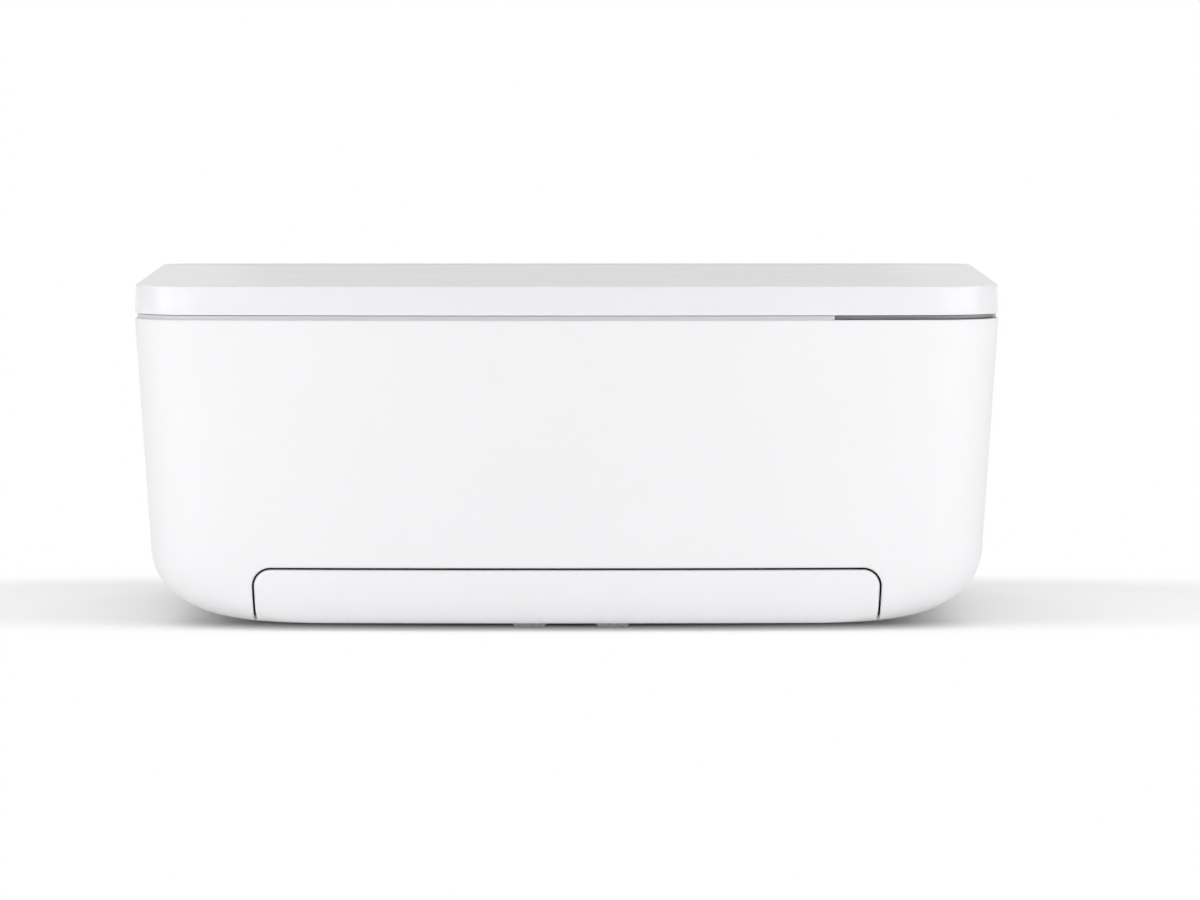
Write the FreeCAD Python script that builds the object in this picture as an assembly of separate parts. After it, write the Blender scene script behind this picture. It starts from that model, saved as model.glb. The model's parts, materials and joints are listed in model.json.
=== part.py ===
import FreeCAD, Part

import math
import os

V = FreeCAD.Vector
X_AXIS = V(1, 0, 0)
Z_AXIS = V(0, 0, 1)

# Inkjet printer with a flatbed scanner on top. Millimetres, +Z up, front faces -Y,
# origin on the floor under the middle of the object's box.

# Whole object
width = 432.0
depth = 359.0
foot_height = 4.0
casing_height = 152.1
lid_gap = 2.3
lid_thickness = 14.6
front_curve_radius = 2340.0
front_corner_radius = 35.0
rear_corner_radius = 18.0
side_draft = 0.0654

# Rounding under the casing
round_height = 36.0
side_round = 55.0
front_round = 12.0
rear_round = 20.0
round_power = 2.2
round_steps = 8

# Walls and clearances
casing_wall = 2.5
running_fit = 0.05
gap = 0.3
seam = 0.8

# Feet and edge lights
foot_radius = 9.0
foot_side_setback = 76.0
foot_setback = 120.5
foot_rear_setback = 38.5
foot_depth_in_casing = 2.0
lens_left_x = -18.7
lens_right_x = 23.0
lens_top_width = 19.0
lens_bottom_width = 14.0
lens_height = 3.1
lens_depth = 10.0
lens_behind_tray_front = 8.2

# Hinges of the scanner deck and of the lid
knuckle_radius = 2.5
knuckle_length = 8.0
knuckle_side_length = 6.0
hinge_pin_radius = 1.2
hinge_axis_inset = 0.5
deck_hinge_from_skirt_end = 25.0
deck_hinge_drop = 8.6
hinge_spacing = 35.0
lid_hinge_rise = 1.1
rear_rim_drop = 10.6
rear_rim_depth = 8.5

# Lid
lid_taper = 0.5
lid_top_edge = 1.0
lid_bottom_edge = 0.5
lid_wall = 2.0
lid_top_wall = 2.2
lid_liner_thickness = 1.5
pad_clearance = 2.0

# Scanner deck
bezel_inset = 1.3
bezel_thickness = 2.0
glass_end_room = 19.5
glass_front_room = 41.0
glass_rear_room = 48.0
glass_thickness = 2.5
glass_lap = 6.0
skirt_thickness = 3.2
skirt_setback = 26.0
skirt_side_room = 2.0
tub_side_setback = 38.0
tub_front_setback = 17.5
tub_rear_setback = 18.5
tub_depth = 30.1
tub_wall = 2.0
grip_length = 83.0
grip_depth = 9.7
grip_insert_setback = 3.0
grip_wrap = 40.0

# Scan bar and its drive
scan_end_room = 13.5
scan_bar_width = 18.0
scan_bar_end_room = 5.0
scan_bar_height = 16.8
scan_glass_clearance = 0.8
scan_rod_radius = 3.0
scan_rod_rise = 4.0
scan_rod_from_center = 65.0
scan_lug_length = 40.0
scan_motor_radius = 9.0
scan_motor_length = 22.0
scan_pinion_width = 5.0
rack_base = 1.5
drive_shaft_radius = 1.5
drive_shaft_depth = 8.0

# Gear teeth
module = 1.0
pressure_angle = math.radians(20)
addendum = 0.8
dedendum = 1.1
tooth_play = 0.14
pinion_teeth = 14
feed_gear_teeth = 40
motor_pinion_teeth = 16
idler_teeth = 32
exit_gear_teeth = 30
gear_width = 4.5
motor_pinion_angle = math.radians(133)

# Paper tray
tray_side_setback = 60.0
tray_side_taper = 1.0
tray_front_height = 27.4
tray_corner_radius = 8.5
tray_front_depth = 30.0
tray_front_wall = 3.0
tray_joint_gap = 0.2
tray_tub_side_room = 7.0
tray_tub_wall = 2.0
tray_tub_floor = 2.0
tray_tub_height = 12.6
runner_height = 0.5
runner_width = 6.0
side_runner_height = 4.0
side_runner_rise = 4.6
rail_room = 3.0
rail_thickness = 2.5
output_deck_thickness = 2.0
output_deck_from_feed = 18.0
tray_rear_room = 4.0

# Paper guides in the tray
paper_half_width = 108.0
guide_thickness = 2.0
guide_length = 70.0
guide_foot_width = 8.0
guide_top_room = 0.5
small_paper_half_width = 53.0
guide_pinion_y = 20.0
guide_rack_height = 1.6
guide_rack_back = 3.0
guide_rack_overrun = 12.0
guide_pin_radius = 2.0
length_guide_width = 60.0
length_guide_setback = 55.5
length_guide_foot = 18.0

# Base chassis and inner deck
chassis_floor = 2.1
chassis_front_setback = 65.5
chassis_rear_setback = 18.5
rail_top_room = 4.0
rib_thickness = 3.0
inner_deck_thickness = 2.5
inner_deck_rise = 4.0
inner_deck_front_setback = 30.5
inner_deck_side_room = 2.0

# Print engine
engine_setback = 73.0
gear_side_room = 24.9
frame_sheet = 1.5
frame_length = 107.5
frame_low_z = 20.0
frame_top_z = 100.0
back_plate_low_z = 56.0
back_flange = 10.5
front_rail_width = 8.0
front_rail_z = 66.0
paper_rise = 20.0
feed_from_back = 27.5
feed_to_exit = 66.0
feed_radius = 8.0
feed_shaft_radius = 4.0
exit_radius = 6.0
exit_shaft_radius = 3.0
tyre_spacing = 80.0
tyre_length = 40.0
pinch_radius = 4.0
pinch_axle_radius = 1.5
star_radius = 5.0
star_axle_radius = 1.2
star_spacing = 36.0
star_count = 6
star_width = 2.0
feed_motor_radius = 14.0
feed_motor_length = 13.8
platen_end_room = 2.0
platen_depth = 46.0
platen_height = 5.4
platen_rib_height = 1.4
platen_rib_pitch = 20.0
platen_below_paper = 0.6
platen_arm_depth = 20.0
turn_radius = 18.5
turn_wall = 1.9
turn_from_feed = 44.0

# Pick arm
pick_from_feed = 14.0
pick_below_feed = 4.0
pick_shaft_radius = 3.0
pick_post_length = 12.0
pick_post_height = 10.0
pick_reach = 22.5
pick_roller_radius = 9.0
pick_roller_width = 30.0
pick_axle_radius = 2.0
pick_floor_clearance = 0.4
pick_plate_thickness = 2.0
pick_hub_radius = 5.0

# Carriage and ink cartridges
carriage_width = 80.0
carriage_depth = 46.0
carriage_height = 36.0
carriage_wall = 2.0
carriage_floor = 3.0
carriage_above_paper = 2.0
carriage_end_room = 1.0
carriage_front_room = 3.0
guide_rod_radius = 4.0
guide_rod_from_back = 13.5
guide_rod_z = 64.0
lug_radius = 8.0
lug_length = 20.0
lug_center = 28.0
carriage_foot_width = 24.0
carriage_foot_height = 3.2
cartridge_room = 0.5
snout_width = 19.0
snout_depth = 23.0
cartridge_sink = 2.0
latch_width = 28.0
latch_thickness = 2.0
latch_barrel_radius = 2.0
latch_pin_radius = 1.2
latch_ear = 2.5
latch_ear_height = 5.0
latch_axis_rise = 2.5
latch_pad_width = 16.0
latch_pad_length = 15.0

# Carriage belt
belt_pulley_side_room = 10.0
belt_z = 86.0
belt_pulley_radius = 5.7
belt_inner_radius = 6.0
belt_thickness = 1.2
belt_width = 5.6
belt_from_back = 6.5
pulley_flange_radius = 8.0
pulley_flange = 1.0
carriage_motor_radius = 12.0
carriage_motor_length = 22.0
clamp_width = 16.0
clamp_thickness = 2.5

# Service station
station_length = 70.0
station_floor = 10.0
station_wall = 2.0
station_wall_height = 4.0
sled_end_room = 1.0
sled_depth = 32.0
sled_height = 3.8
sled_travel = 10.0
cap_width = 16.0
cap_depth = 20.0
cap_wall = 2.0

# Electronics and rear sockets
power_supply_length = 60.0
power_supply_depth = 54.0
power_supply_height = 48.0
power_supply_side_room = 4.0
power_supply_z = 52.0
power_supply_setback = 12.5
inlet_width = 24.0
inlet_height = 18.0
inlet_pin_pitch = 8.0
inlet_lobe_radius = 3.6
inlet_pin_radius = 1.15
inlet_pocket_depth = 10.0
board_side_room = 2.0
board_width = 68.0
board_low_z = 50.0
board_height = 74.0
board_thickness = 1.6
board_setback = 12.5
usb_from_board_end = 40.0
usb_z = 62.0
usb_width = 12.0
usb_height = 11.0
usb_wall = 1.5
button_from_board_end = 10.0
button_spacing = 16.0
button_z = 86.0
button_radius = 5.0
button_stands_out = 1.2
button_flange = 1.5
button_flange_width = 1.0
button_stem_radius = 2.0
button_travel = 0.9
switch_size = 6.0
switch_height = 3.0

# Rear door
door_to_board = 4.5
door_low_z = 46.0
door_height = 58.0
door_axis_rise = 1.0
door_axis_inset = 1.5
door_pin_radius = 1.0
door_pin_length = 4.0
door_boss = 5.0

# Places that follow from the sizes above
half_width = width / 2
frame_outer_x = half_width - casing_wall - gear_side_room - gear_width - 2 * gap
frame_half_width = frame_outer_x - frame_sheet
tray_half_width = half_width - tray_side_setback
skirt_half_length = half_width - skirt_setback
tub_half_length = half_width - tub_side_setback
glass_length = 2 * (tub_half_length - glass_end_room)
scan_travel = glass_length - 2 * scan_end_room
deck_hinge_x = skirt_half_length - deck_hinge_from_skirt_end
lid_hinge_x = deck_hinge_x - hinge_spacing
foot_x = half_width - foot_side_setback
grip_start_x = half_width - grip_length
inner_deck_half_width = frame_half_width - inner_deck_side_room
station_left_x = frame_half_width - station_length
platen_half_length = station_left_x - platen_end_room
carriage_park_x = frame_half_width - carriage_end_room - carriage_width / 2
belt_pulley_x = frame_half_width - belt_pulley_side_room
power_supply_x = power_supply_side_room + power_supply_length / 2 - frame_half_width
board_left_x = frame_half_width - board_side_room - board_width
usb_x = board_left_x + usb_from_board_end
power_button_x = board_left_x + button_from_board_end
wireless_button_x = power_button_x + button_spacing
door_half_width = board_left_x - door_to_board
hinge_reach = knuckle_radius - hinge_axis_inset
front_y = -(depth + hinge_reach) / 2
rear_y = front_y + depth
hinge_y = rear_y - hinge_axis_inset
casing_low_z = foot_height
rim_z = casing_low_z + casing_height
lid_low_z = rim_z + lid_gap
lid_top_z = lid_low_z + lid_thickness
deck_hinge_z = rim_z - deck_hinge_drop
lid_hinge_z = rim_z + lid_hinge_rise
round_top_z = casing_low_z + round_height
tray_back_y = front_y + tray_front_depth
tray_top_z = casing_low_z + tray_front_height
chassis_top_z = casing_low_z + casing_wall + chassis_floor
tray_floor_z = chassis_top_z + gap + runner_height
tray_paper_z = tray_floor_z + tray_tub_floor
tub_wall_top_z = tray_floor_z + tray_tub_floor + tray_tub_height
output_z = tub_wall_top_z + output_deck_thickness
tray_tub_half = tray_half_width - tray_tub_side_room
rail_x = tray_tub_half + rail_room
rail_top_z = output_z + rail_top_room
paper_z = output_z + paper_rise
engine_back_y = rear_y - engine_setback
plate_front_y = engine_back_y - frame_length
back_plate_y = engine_back_y - frame_sheet
feed_y = engine_back_y - feed_from_back
feed_z = paper_z - feed_radius
exit_y = feed_y - feed_to_exit
output_deck_rear_y = feed_y - output_deck_from_feed
exit_z = paper_z - exit_radius
pinch_z = paper_z + gap + pinch_radius
star_z = paper_z + gap + star_radius
turn_y = feed_y + turn_from_feed
turn_z = paper_z + turn_wall - turn_radius
tray_rear_y = turn_y - tray_rear_room
guide_travel = paper_half_width - small_paper_half_width
gear_outer_x = -(frame_outer_x + 2 * gap + gear_width)
rod_y = engine_back_y - guide_rod_from_back
carriage_front_y = exit_y + star_radius + carriage_front_room
carriage_rear_y = carriage_front_y + carriage_depth
carriage_low_z = paper_z + carriage_above_paper
carriage_top_z = carriage_low_z + carriage_height
belt_y = engine_back_y - belt_from_back
pick_y = feed_y + pick_from_feed
pick_z = feed_z - pick_below_feed
pick_roller_z = tray_paper_z + pick_floor_clearance + pick_roller_radius
pick_roller_y = pick_y + math.sqrt(pick_reach ** 2 - (pick_z - pick_roller_z) ** 2)
scan_floor_z = rim_z - tub_depth + tub_wall
tub_front_y = front_y + tub_front_setback
tub_rear_y = rear_y - tub_rear_setback
glass_front_y = tub_front_y + glass_front_room
glass_width = tub_rear_y - glass_rear_room - glass_front_y
glass_center_y = glass_front_y + glass_width / 2
scan_bar_length = glass_width - 2 * scan_bar_end_room
scan_rod_y = glass_center_y + scan_rod_from_center
scan_home_x = -scan_travel / 2
scan_bar_top_z = rim_z - glass_thickness - scan_glass_clearance
scan_bar_front_y = glass_center_y - scan_bar_length / 2
scan_pinion_z = scan_floor_z + rack_base + dedendum + module * pinion_teeth / 2
door_axis_y = rear_y - door_axis_inset
door_axis_z = door_low_z + door_axis_rise
station_depth = sled_depth + sled_travel + 2 * station_wall + 4 * gap
board_y = rear_y - board_setback
supply_rear_y = rear_y - power_supply_setback


def box(x0, x1, y0, y1, z0, z1):
    return Part.makeBox(x1 - x0, y1 - y0, z1 - z0, V(x0, y0, z0))


def rod(radius, start, end):
    along = end - start
    return Part.makeCylinder(radius, along.Length, start, along)


def rod_x(radius, x0, x1, y, z):
    return rod(radius, V(x0, y, z), V(x1, y, z))


def rod_y_along(radius, x, y0, y1, z):
    return rod(radius, V(x, y0, z), V(x, y1, z))


def rod_z(radius, x, y, z0, z1):
    return rod(radius, V(x, y, z0), V(x, y, z1))


def tube_x(outer, inner, x0, x1, y, z):
    return rod_x(outer, x0, x1, y, z).cut(rod_x(inner, x0, x1, y, z))


def joined(first, *others):
    return first.fuse(list(others)).removeSplitter()


def mirrored(shape):
    return shape.mirror(V(0, 0, 0), X_AXIS)


def both_sides(shape):
    return [shape, mirrored(shape)]


def prism(points, along):
    return Part.Face(Part.makePolygon(points + points[:1])).extrude(along)


def outline(half, front, rear, front_r, rear_r, curve_r, z):
    """Plan outline: bowed front, straight sides and rear, round corners."""
    corner_y = front + curve_r - math.sqrt((curve_r - front_r) ** 2 - (half - front_r) ** 2)
    corner = V(half - front_r, corner_y, z)
    bow_center = V(0, front + curve_r, z)
    outward = (corner - bow_center).normalize()
    bow_end = bow_center + outward * curve_r
    corner_mid = corner + (outward + X_AXIS).normalize() * front_r
    side_front = V(half, corner_y, z)
    side_rear = V(half, rear - rear_r, z)
    rear_mid = V(half - rear_r, rear - rear_r, z) + V(1, 1, 0).normalize() * rear_r
    rear_end = V(half - rear_r, rear, z)

    def left(point):
        return V(-point.x, point.y, point.z)

    edges = [
        Part.Arc(left(bow_end), V(0, front, z), bow_end),
        Part.Arc(bow_end, corner_mid, side_front),
        Part.LineSegment(side_front, side_rear),
        Part.Arc(side_rear, rear_mid, rear_end),
        Part.LineSegment(rear_end, left(rear_end)),
        Part.Arc(left(rear_end), left(rear_mid), left(side_rear)),
        Part.LineSegment(left(side_rear), left(side_front)),
        Part.Arc(left(side_front), left(corner_mid), left(bow_end)),
    ]
    return Part.Wire([edge.toShape() for edge in edges])


def plan(z, inset, lean=0.0, turn=0.0):
    """Casing outline at a height, drawn in by an inset, a draft and a share of the rounding."""
    return outline(
        half_width - inset - lean - (side_round - inset) * turn,
        front_y + inset + lean + (front_round - inset) * turn,
        rear_y - inset - (rear_round - inset) * turn,
        front_corner_radius - inset,
        rear_corner_radius - inset,
        front_curve_radius - inset,
        z,
    )


def casing_lean(z):
    return side_draft * (rim_z - z)


def plate(inset, z0, z1):
    return Part.Face(plan(z0, inset)).extrude(V(0, 0, z1 - z0))


def hull(inset, top_z):
    """Solid inside the casing's skin, at an inset, from its rounded underside up to a height."""
    sections = []
    for step in range(round_steps + 1):
        angle = math.pi / 2 * step / round_steps
        z = round_top_z - (round_height - inset) * math.sin(angle) ** (2 / round_power)
        turn = 1 - max(0.0, math.cos(angle)) ** (2 / round_power)
        sections.append(plan(z, inset, casing_lean(z), turn))
    low = Part.makeLoft(sections, True, False)
    rings = [plan(z, inset, casing_lean(z)) for z in (round_top_z, top_z)]
    return low.fuse(Part.makeLoft(rings, True, True))


def tray_window(spread, back_y):
    """Prism of the tray front's outline, spread outwards by a seam, from before the casing to a depth."""
    top = tray_top_z + spread
    low = casing_low_z - casing_wall
    half = tray_half_width + spread
    radius = tray_corner_radius + spread
    near = radius * (1 - math.sqrt(0.5))
    start_y = front_y - tray_front_wall

    def at(x, z):
        return V(x, start_y, z)

    edges = [
        Part.LineSegment(at(tray_side_taper - half, low), at(-half, top - radius)),
        Part.Arc(at(-half, top - radius), at(near - half, top - near), at(radius - half, top)),
        Part.LineSegment(at(radius - half, top), at(half - radius, top)),
        Part.Arc(at(half - radius, top), at(half - near, top - near), at(half, top - radius)),
        Part.LineSegment(at(half, top - radius), at(half - tray_side_taper, low)),
        Part.LineSegment(at(half - tray_side_taper, low), at(tray_side_taper - half, low)),
    ]
    wire = Part.Wire([edge.toShape() for edge in edges])
    return Part.Face(wire).extrude(V(0, back_y - start_y, 0))


def knuckles(center_x, z):
    """One hinge: outer pair, middle, pin, the room each needs in the other leaf, and the pin's bore."""
    half = knuckle_length / 2
    end = half + gap + knuckle_side_length
    room = knuckle_radius + gap

    def piece(radius, x0, x1):
        return rod_x(radius, center_x + x0, center_x + x1, hinge_y, z)

    return {
        "outer": [piece(knuckle_radius, -end, -half - gap), piece(knuckle_radius, half + gap, end)],
        "middle": [piece(knuckle_radius, -half, half)],
        "outer_room": [piece(room, -end - gap, -half), piece(room, half, end + gap)],
        "middle_room": [piece(room, -half - gap, half + gap)],
        "pin": [piece(hinge_pin_radius, -end, end)],
        "bore": [piece(hinge_pin_radius + running_fit, -end - gap, end + gap)],
    }


def hinge_pieces(x, z, name):
    return knuckles(-x, z)[name] + knuckles(x, z)[name]


def deck_hinge(name):
    return hinge_pieces(deck_hinge_x, deck_hinge_z, name)


def lid_hinge(name):
    return hinge_pieces(lid_hinge_x, lid_hinge_z, name)


def involute(base, radius):
    roll = math.sqrt(max(0.0, (radius / base) ** 2 - 1))
    return roll - math.atan(roll)


def gear_points(teeth, phase):
    """Tooth outline of a spur gear as (u, v) points, with a tooth centred on the phase angle."""
    pitch = module * teeth / 2
    base = pitch * math.cos(pressure_angle)
    root = pitch - dedendum
    tip = pitch + addendum
    half_tooth = (math.pi * module / 2 - tooth_play) / (2 * pitch)
    radii = [root, max(base, root + addendum / 10), pitch, tip]
    flank = [half_tooth + involute(base, pitch) - involute(base, radius) for radius in radii]
    points = []
    for tooth in range(teeth):
        center = phase + 2 * math.pi * tooth / teeth
        rise = [(radius, center - side) for radius, side in zip(radii, flank)]
        fall = [(radius, center + side) for radius, side in zip(radii[::-1], flank[::-1])]
        points += [(radius * math.cos(angle), radius * math.sin(angle)) for radius, angle in rise + fall]
    return points


def gear_along_x(teeth, phase, y, z, x0, x1):
    points = [V(x0, y + u, z + v) for u, v in gear_points(teeth, phase)]
    return prism(points, V(x1 - x0, 0, 0))


def mesh_phase(teeth, phase, direction, other_teeth):
    """Phase of a gear that meshes with a first gear, lying in a direction from it."""
    share = teeth * (direction - phase) / (2 * math.pi)
    return direction + math.pi - (2 * math.pi / other_teeth) * (0.5 - share)


def rack_points(start, end, tooth_at, back):
    """Outline of a rack as (along, out) points, out from the pitch line, with a tooth centred on a place."""
    pitch = math.pi * module
    half = (pitch - 2 * tooth_play) / 4
    slope = math.tan(pressure_angle)
    first = math.ceil((start - tooth_at) / pitch + 0.5)
    last = math.floor((end - tooth_at) / pitch - 0.5)
    points = [(start, -dedendum - back), (start, -dedendum)]
    for tooth in range(first, last + 1):
        center = tooth_at + tooth * pitch
        root = half + dedendum * slope
        tip = half - addendum * slope
        points += [(center - root, -dedendum), (center - tip, addendum)]
        points += [(center + tip, addendum), (center + root, -dedendum)]
    return points + [(end, -dedendum), (end, -dedendum - back)]


def foot_places():
    front = front_y + foot_setback
    rear = rear_y - foot_rear_setback
    return [(x, y) for x in (-foot_x, foot_x) for y in (front, rear)]


def button_bore(x):
    return rod_y_along(button_radius + gap, x, rear_y - casing_wall - seam, rear_y + seam, button_z)


def rear_cuts():
    """Openings in the casing's rear wall."""
    inside = rear_y - casing_wall - seam
    outside = rear_y + seam
    x = power_supply_x
    z = power_supply_z + power_supply_height / 2
    inlet_half = inlet_width / 2 + gap
    inlet_rise = inlet_height / 2 + gap
    usb_half = usb_width / 2 + gap
    usb_rise = usb_height / 2 + gap
    door_low = door_axis_z - math.hypot(door_axis_inset, door_axis_rise) - gap
    door_top = door_low_z + door_height + seam
    door_half = door_half_width + seam
    rim_half = skirt_half_length + skirt_side_room
    return [
        box(x - inlet_half, x + inlet_half, inside, outside, z - inlet_rise, z + inlet_rise),
        box(usb_x - usb_half, usb_x + usb_half, inside, outside, usb_z - usb_rise, usb_z + usb_rise),
        box(-door_half, door_half, inside, outside, door_low, door_top),
        box(-rim_half, rim_half, rear_y - rear_rim_depth, outside, rim_z - rear_rim_drop, rim_z + seam),
    ] + [button_bore(x) for x in (power_button_x, wireless_button_x)]


def door_bosses():
    inner = door_half_width + seam
    low = door_axis_z - door_boss / 2
    outer_x = inner + door_pin_length + casing_wall
    boss = box(inner, outer_x, rear_y - door_boss, rear_y - casing_wall, low, low + door_boss)
    return both_sides(boss)


def door_pins(radius, start_x, end_x):
    return both_sides(rod_x(radius, start_x, end_x, door_axis_y, door_axis_z))


def hinge_webs():
    """Rear wall carried up to the deck hinge's outer knuckles."""
    half = knuckle_length / 2 + gap
    end = half + knuckle_side_length
    low = rim_z - rear_rim_drop - casing_wall
    webs = []
    for x0, x1 in ((-end, -half), (half, end)):
        web = box(deck_hinge_x + x0, deck_hinge_x + x1, rear_y - casing_wall, rear_y, low, deck_hinge_z)
        webs += both_sides(web)
    return webs


def outer_casing():
    shell = hull(0.0, rim_z).cut(hull(casing_wall, rim_z + casing_wall))
    shell = shell.cut(tray_window(seam, tray_back_y + seam))
    feet = [rod_z(foot_radius + gap, x, y, 0, round_top_z) for x, y in foot_places()]
    shell = shell.cut(rear_cuts() + feet + deck_hinge("middle_room"))
    shell = shell.fuse(door_bosses() + hinge_webs() + deck_hinge("outer"))
    bores = deck_hinge("bore")
    start = door_half_width
    bores += door_pins(door_pin_radius + running_fit, start, start + seam + door_pin_length + gap)
    return shell.cut(bores)


def rubber_feet():
    top = casing_low_z + foot_depth_in_casing
    return Part.makeCompound([rod_z(foot_radius, x, y, 0, top) for x, y in foot_places()])


def edge_light_lenses():
    top = lens_top_width / 2
    low = lens_bottom_width / 2
    y = tray_back_y + lens_behind_tray_front
    z = casing_low_z - lens_height
    lenses = []
    for x in (lens_left_x, lens_right_x):
        corners = [(x - low, z), (x + low, z), (x + top, casing_low_z), (x - top, casing_low_z)]
        points = [V(along, y, height) for along, height in corners]
        lenses.append(prism(points, V(0, lens_depth, 0)))
    return Part.makeCompound(lenses)


def chassis_ribs():
    """Upright ribs under the power supply and the logic board."""
    supply_half = power_supply_length / 2 - 2 * rib_thickness
    front = tray_rear_y + rib_thickness
    board_right = board_left_x + board_width
    places = [
        (power_supply_x - supply_half, power_supply_z),
        (power_supply_x + supply_half, power_supply_z),
        (board_left_x + 2 * rib_thickness, board_low_z),
        (board_right - 2 * rib_thickness, board_low_z),
    ]
    half = rib_thickness / 2
    low = casing_low_z
    rear = board_y + rib_thickness
    return [box(x - half, x + half, front, rear, low, top) for x, top in places]


def base_chassis():
    front = front_y + chassis_front_setback
    rear = rear_y - chassis_rear_setback
    low = casing_low_z
    floor = box(-frame_outer_x, frame_outer_x, front, rear, low, chassis_top_z)
    rail = box(rail_x, rail_x + rail_thickness, front, tray_rear_y, low, rail_top_z)
    half = pick_post_length / 2
    post_top = rail_top_z + pick_post_height
    post = box(rail_x, rail_x + rail_thickness, pick_y - half, pick_y + half, low, post_top)
    shelf_low = frame_low_z - chassis_floor
    shelf = box(rail_x, frame_outer_x, plate_front_y, rear, shelf_low, frame_low_z)
    stand_x = frame_half_width - rib_thickness
    stand = box(stand_x, frame_outer_x, plate_front_y, engine_back_y, low, frame_low_z)
    pieces = both_sides(rail) + both_sides(post) + both_sides(shelf) + both_sides(stand) + chassis_ribs()
    shape = joined(floor, *pieces)
    shape = shape.common(hull(casing_wall + gap, rim_z))
    end = rail_x + rail_thickness + gap
    return shape.cut(rod_x(pick_shaft_radius + running_fit, -end, end, pick_y, pick_z))


def inner_deck():
    front = front_y + inner_deck_front_setback
    rear = plate_front_y - gap
    low = paper_z + inner_deck_rise
    top = low + inner_deck_thickness
    plate_piece = box(-inner_deck_half_width, inner_deck_half_width, front, rear, low, top)
    skirt_front = front_y + chassis_front_setback
    skirt = box(rail_x, rail_x + rail_thickness, skirt_front, rear, rail_top_z, low)
    return joined(plate_piece, *both_sides(skirt))


def engine_frame():
    outer = frame_outer_x
    side = box(frame_half_width, outer, plate_front_y, engine_back_y, frame_low_z, frame_top_z)
    back = box(-outer, outer, back_plate_y, engine_back_y, back_plate_low_z, frame_top_z)
    flange_front = engine_back_y - back_flange
    flange = box(-outer, outer, flange_front, engine_back_y, frame_top_z - frame_sheet, frame_top_z)
    rail_y = exit_y - front_rail_width / 2
    rail_top = front_rail_z + frame_sheet
    rail = box(-outer, outer, rail_y, rail_y + front_rail_width, front_rail_z, rail_top)
    idler_y, idler_z = idler_place()
    idler_pin = rod_x(guide_pin_radius, gear_outer_x, -frame_half_width, idler_y, idler_z)
    pulley_front = belt_y - belt_width / 2 - pulley_flange
    pulley_pin = rod_y_along(drive_shaft_radius, -belt_pulley_x, pulley_front, engine_back_y, belt_z)
    frame = joined(side, mirrored(side), back, flange, rail, idler_pin, pulley_pin)
    return frame.cut(frame_bores())


def frame_bores():
    """Shaft holes through the side plates, and the two motors' shaft holes."""
    end = frame_outer_x + gap
    shafts = [
        (guide_rod_radius, rod_y, guide_rod_z),
        (feed_shaft_radius, feed_y, feed_z),
        (exit_shaft_radius, exit_y, exit_z),
        (pinch_axle_radius, feed_y, pinch_z),
        (star_axle_radius, exit_y, star_z),
    ]
    bores = [rod_x(radius + running_fit, -end, end, y, z) for radius, y, z in shafts]
    y, z = motor_place()
    bores.append(rod_x(drive_shaft_radius + seam, -end, -frame_half_width + gap, y, z))
    hole = drive_shaft_radius + seam
    bores.append(rod_y_along(hole, belt_pulley_x, back_plate_y - gap, engine_back_y + gap, belt_z))
    return bores


def pitch_radius(teeth):
    return module * teeth / 2


def motor_place():
    reach = pitch_radius(feed_gear_teeth) + pitch_radius(motor_pinion_teeth)
    return feed_y + reach * math.cos(motor_pinion_angle), feed_z + reach * math.sin(motor_pinion_angle)


def idler_place():
    """Centre of the idler that meshes with both the feed gear and the exit gear, on the lower side."""
    near = pitch_radius(feed_gear_teeth) + pitch_radius(idler_teeth)
    far = pitch_radius(exit_gear_teeth) + pitch_radius(idler_teeth)
    span = math.hypot(feed_y - exit_y, feed_z - exit_z)
    along = (near ** 2 - far ** 2 + span ** 2) / (2 * span)
    aside = math.sqrt(near ** 2 - along ** 2)
    uy = (exit_y - feed_y) / span
    uz = (exit_z - feed_z) / span
    return feed_y + along * uy - aside * uz, feed_z + along * uz + aside * uy


def direction(from_y, from_z, to_y, to_z):
    return math.atan2(to_z - from_z, to_y - from_y)


def gear_phases():
    idler_y, idler_z = idler_place()
    to_idler = direction(feed_y, feed_z, idler_y, idler_z)
    idler = mesh_phase(feed_gear_teeth, 0.0, to_idler, idler_teeth)
    to_exit = direction(idler_y, idler_z, exit_y, exit_z)
    exit_phase = mesh_phase(idler_teeth, idler, to_exit, exit_gear_teeth)
    motor = mesh_phase(feed_gear_teeth, 0.0, motor_pinion_angle, motor_pinion_teeth)
    return {"feed": 0.0, "idler": idler, "exit": exit_phase, "motor": motor}


def train_gear(teeth, phase, y, z, bore):
    x1 = gear_outer_x + gear_width
    gear = gear_along_x(teeth, phase, y, z, gear_outer_x, x1)
    return gear.cut(rod_x(bore, gear_outer_x - gap, x1 + gap, y, z))


def feed_gear():
    return train_gear(feed_gear_teeth, gear_phases()["feed"], feed_y, feed_z, feed_shaft_radius)


def exit_gear():
    return train_gear(exit_gear_teeth, gear_phases()["exit"], exit_y, exit_z, exit_shaft_radius)


def idler_gear():
    y, z = idler_place()
    return train_gear(idler_teeth, gear_phases()["idler"], y, z, guide_pin_radius + running_fit)


def motor_pinion():
    y, z = motor_place()
    x1 = gear_outer_x + gear_width
    pinion = gear_along_x(motor_pinion_teeth, gear_phases()["motor"], y, z, gear_outer_x, x1)
    shaft_end = drive_shaft_depth - frame_half_width
    return joined(pinion, rod_x(drive_shaft_radius, gear_outer_x, shaft_end, y, z))


def feed_motor():
    y, z = motor_place()
    x0 = -frame_half_width
    body = rod_x(feed_motor_radius, x0, x0 + feed_motor_length, y, z)
    return body.cut(rod_x(drive_shaft_radius + running_fit, x0, x0 + drive_shaft_depth + gap, y, z))


def tyre_places():
    return (-tyre_spacing, 0.0, tyre_spacing)


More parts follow.
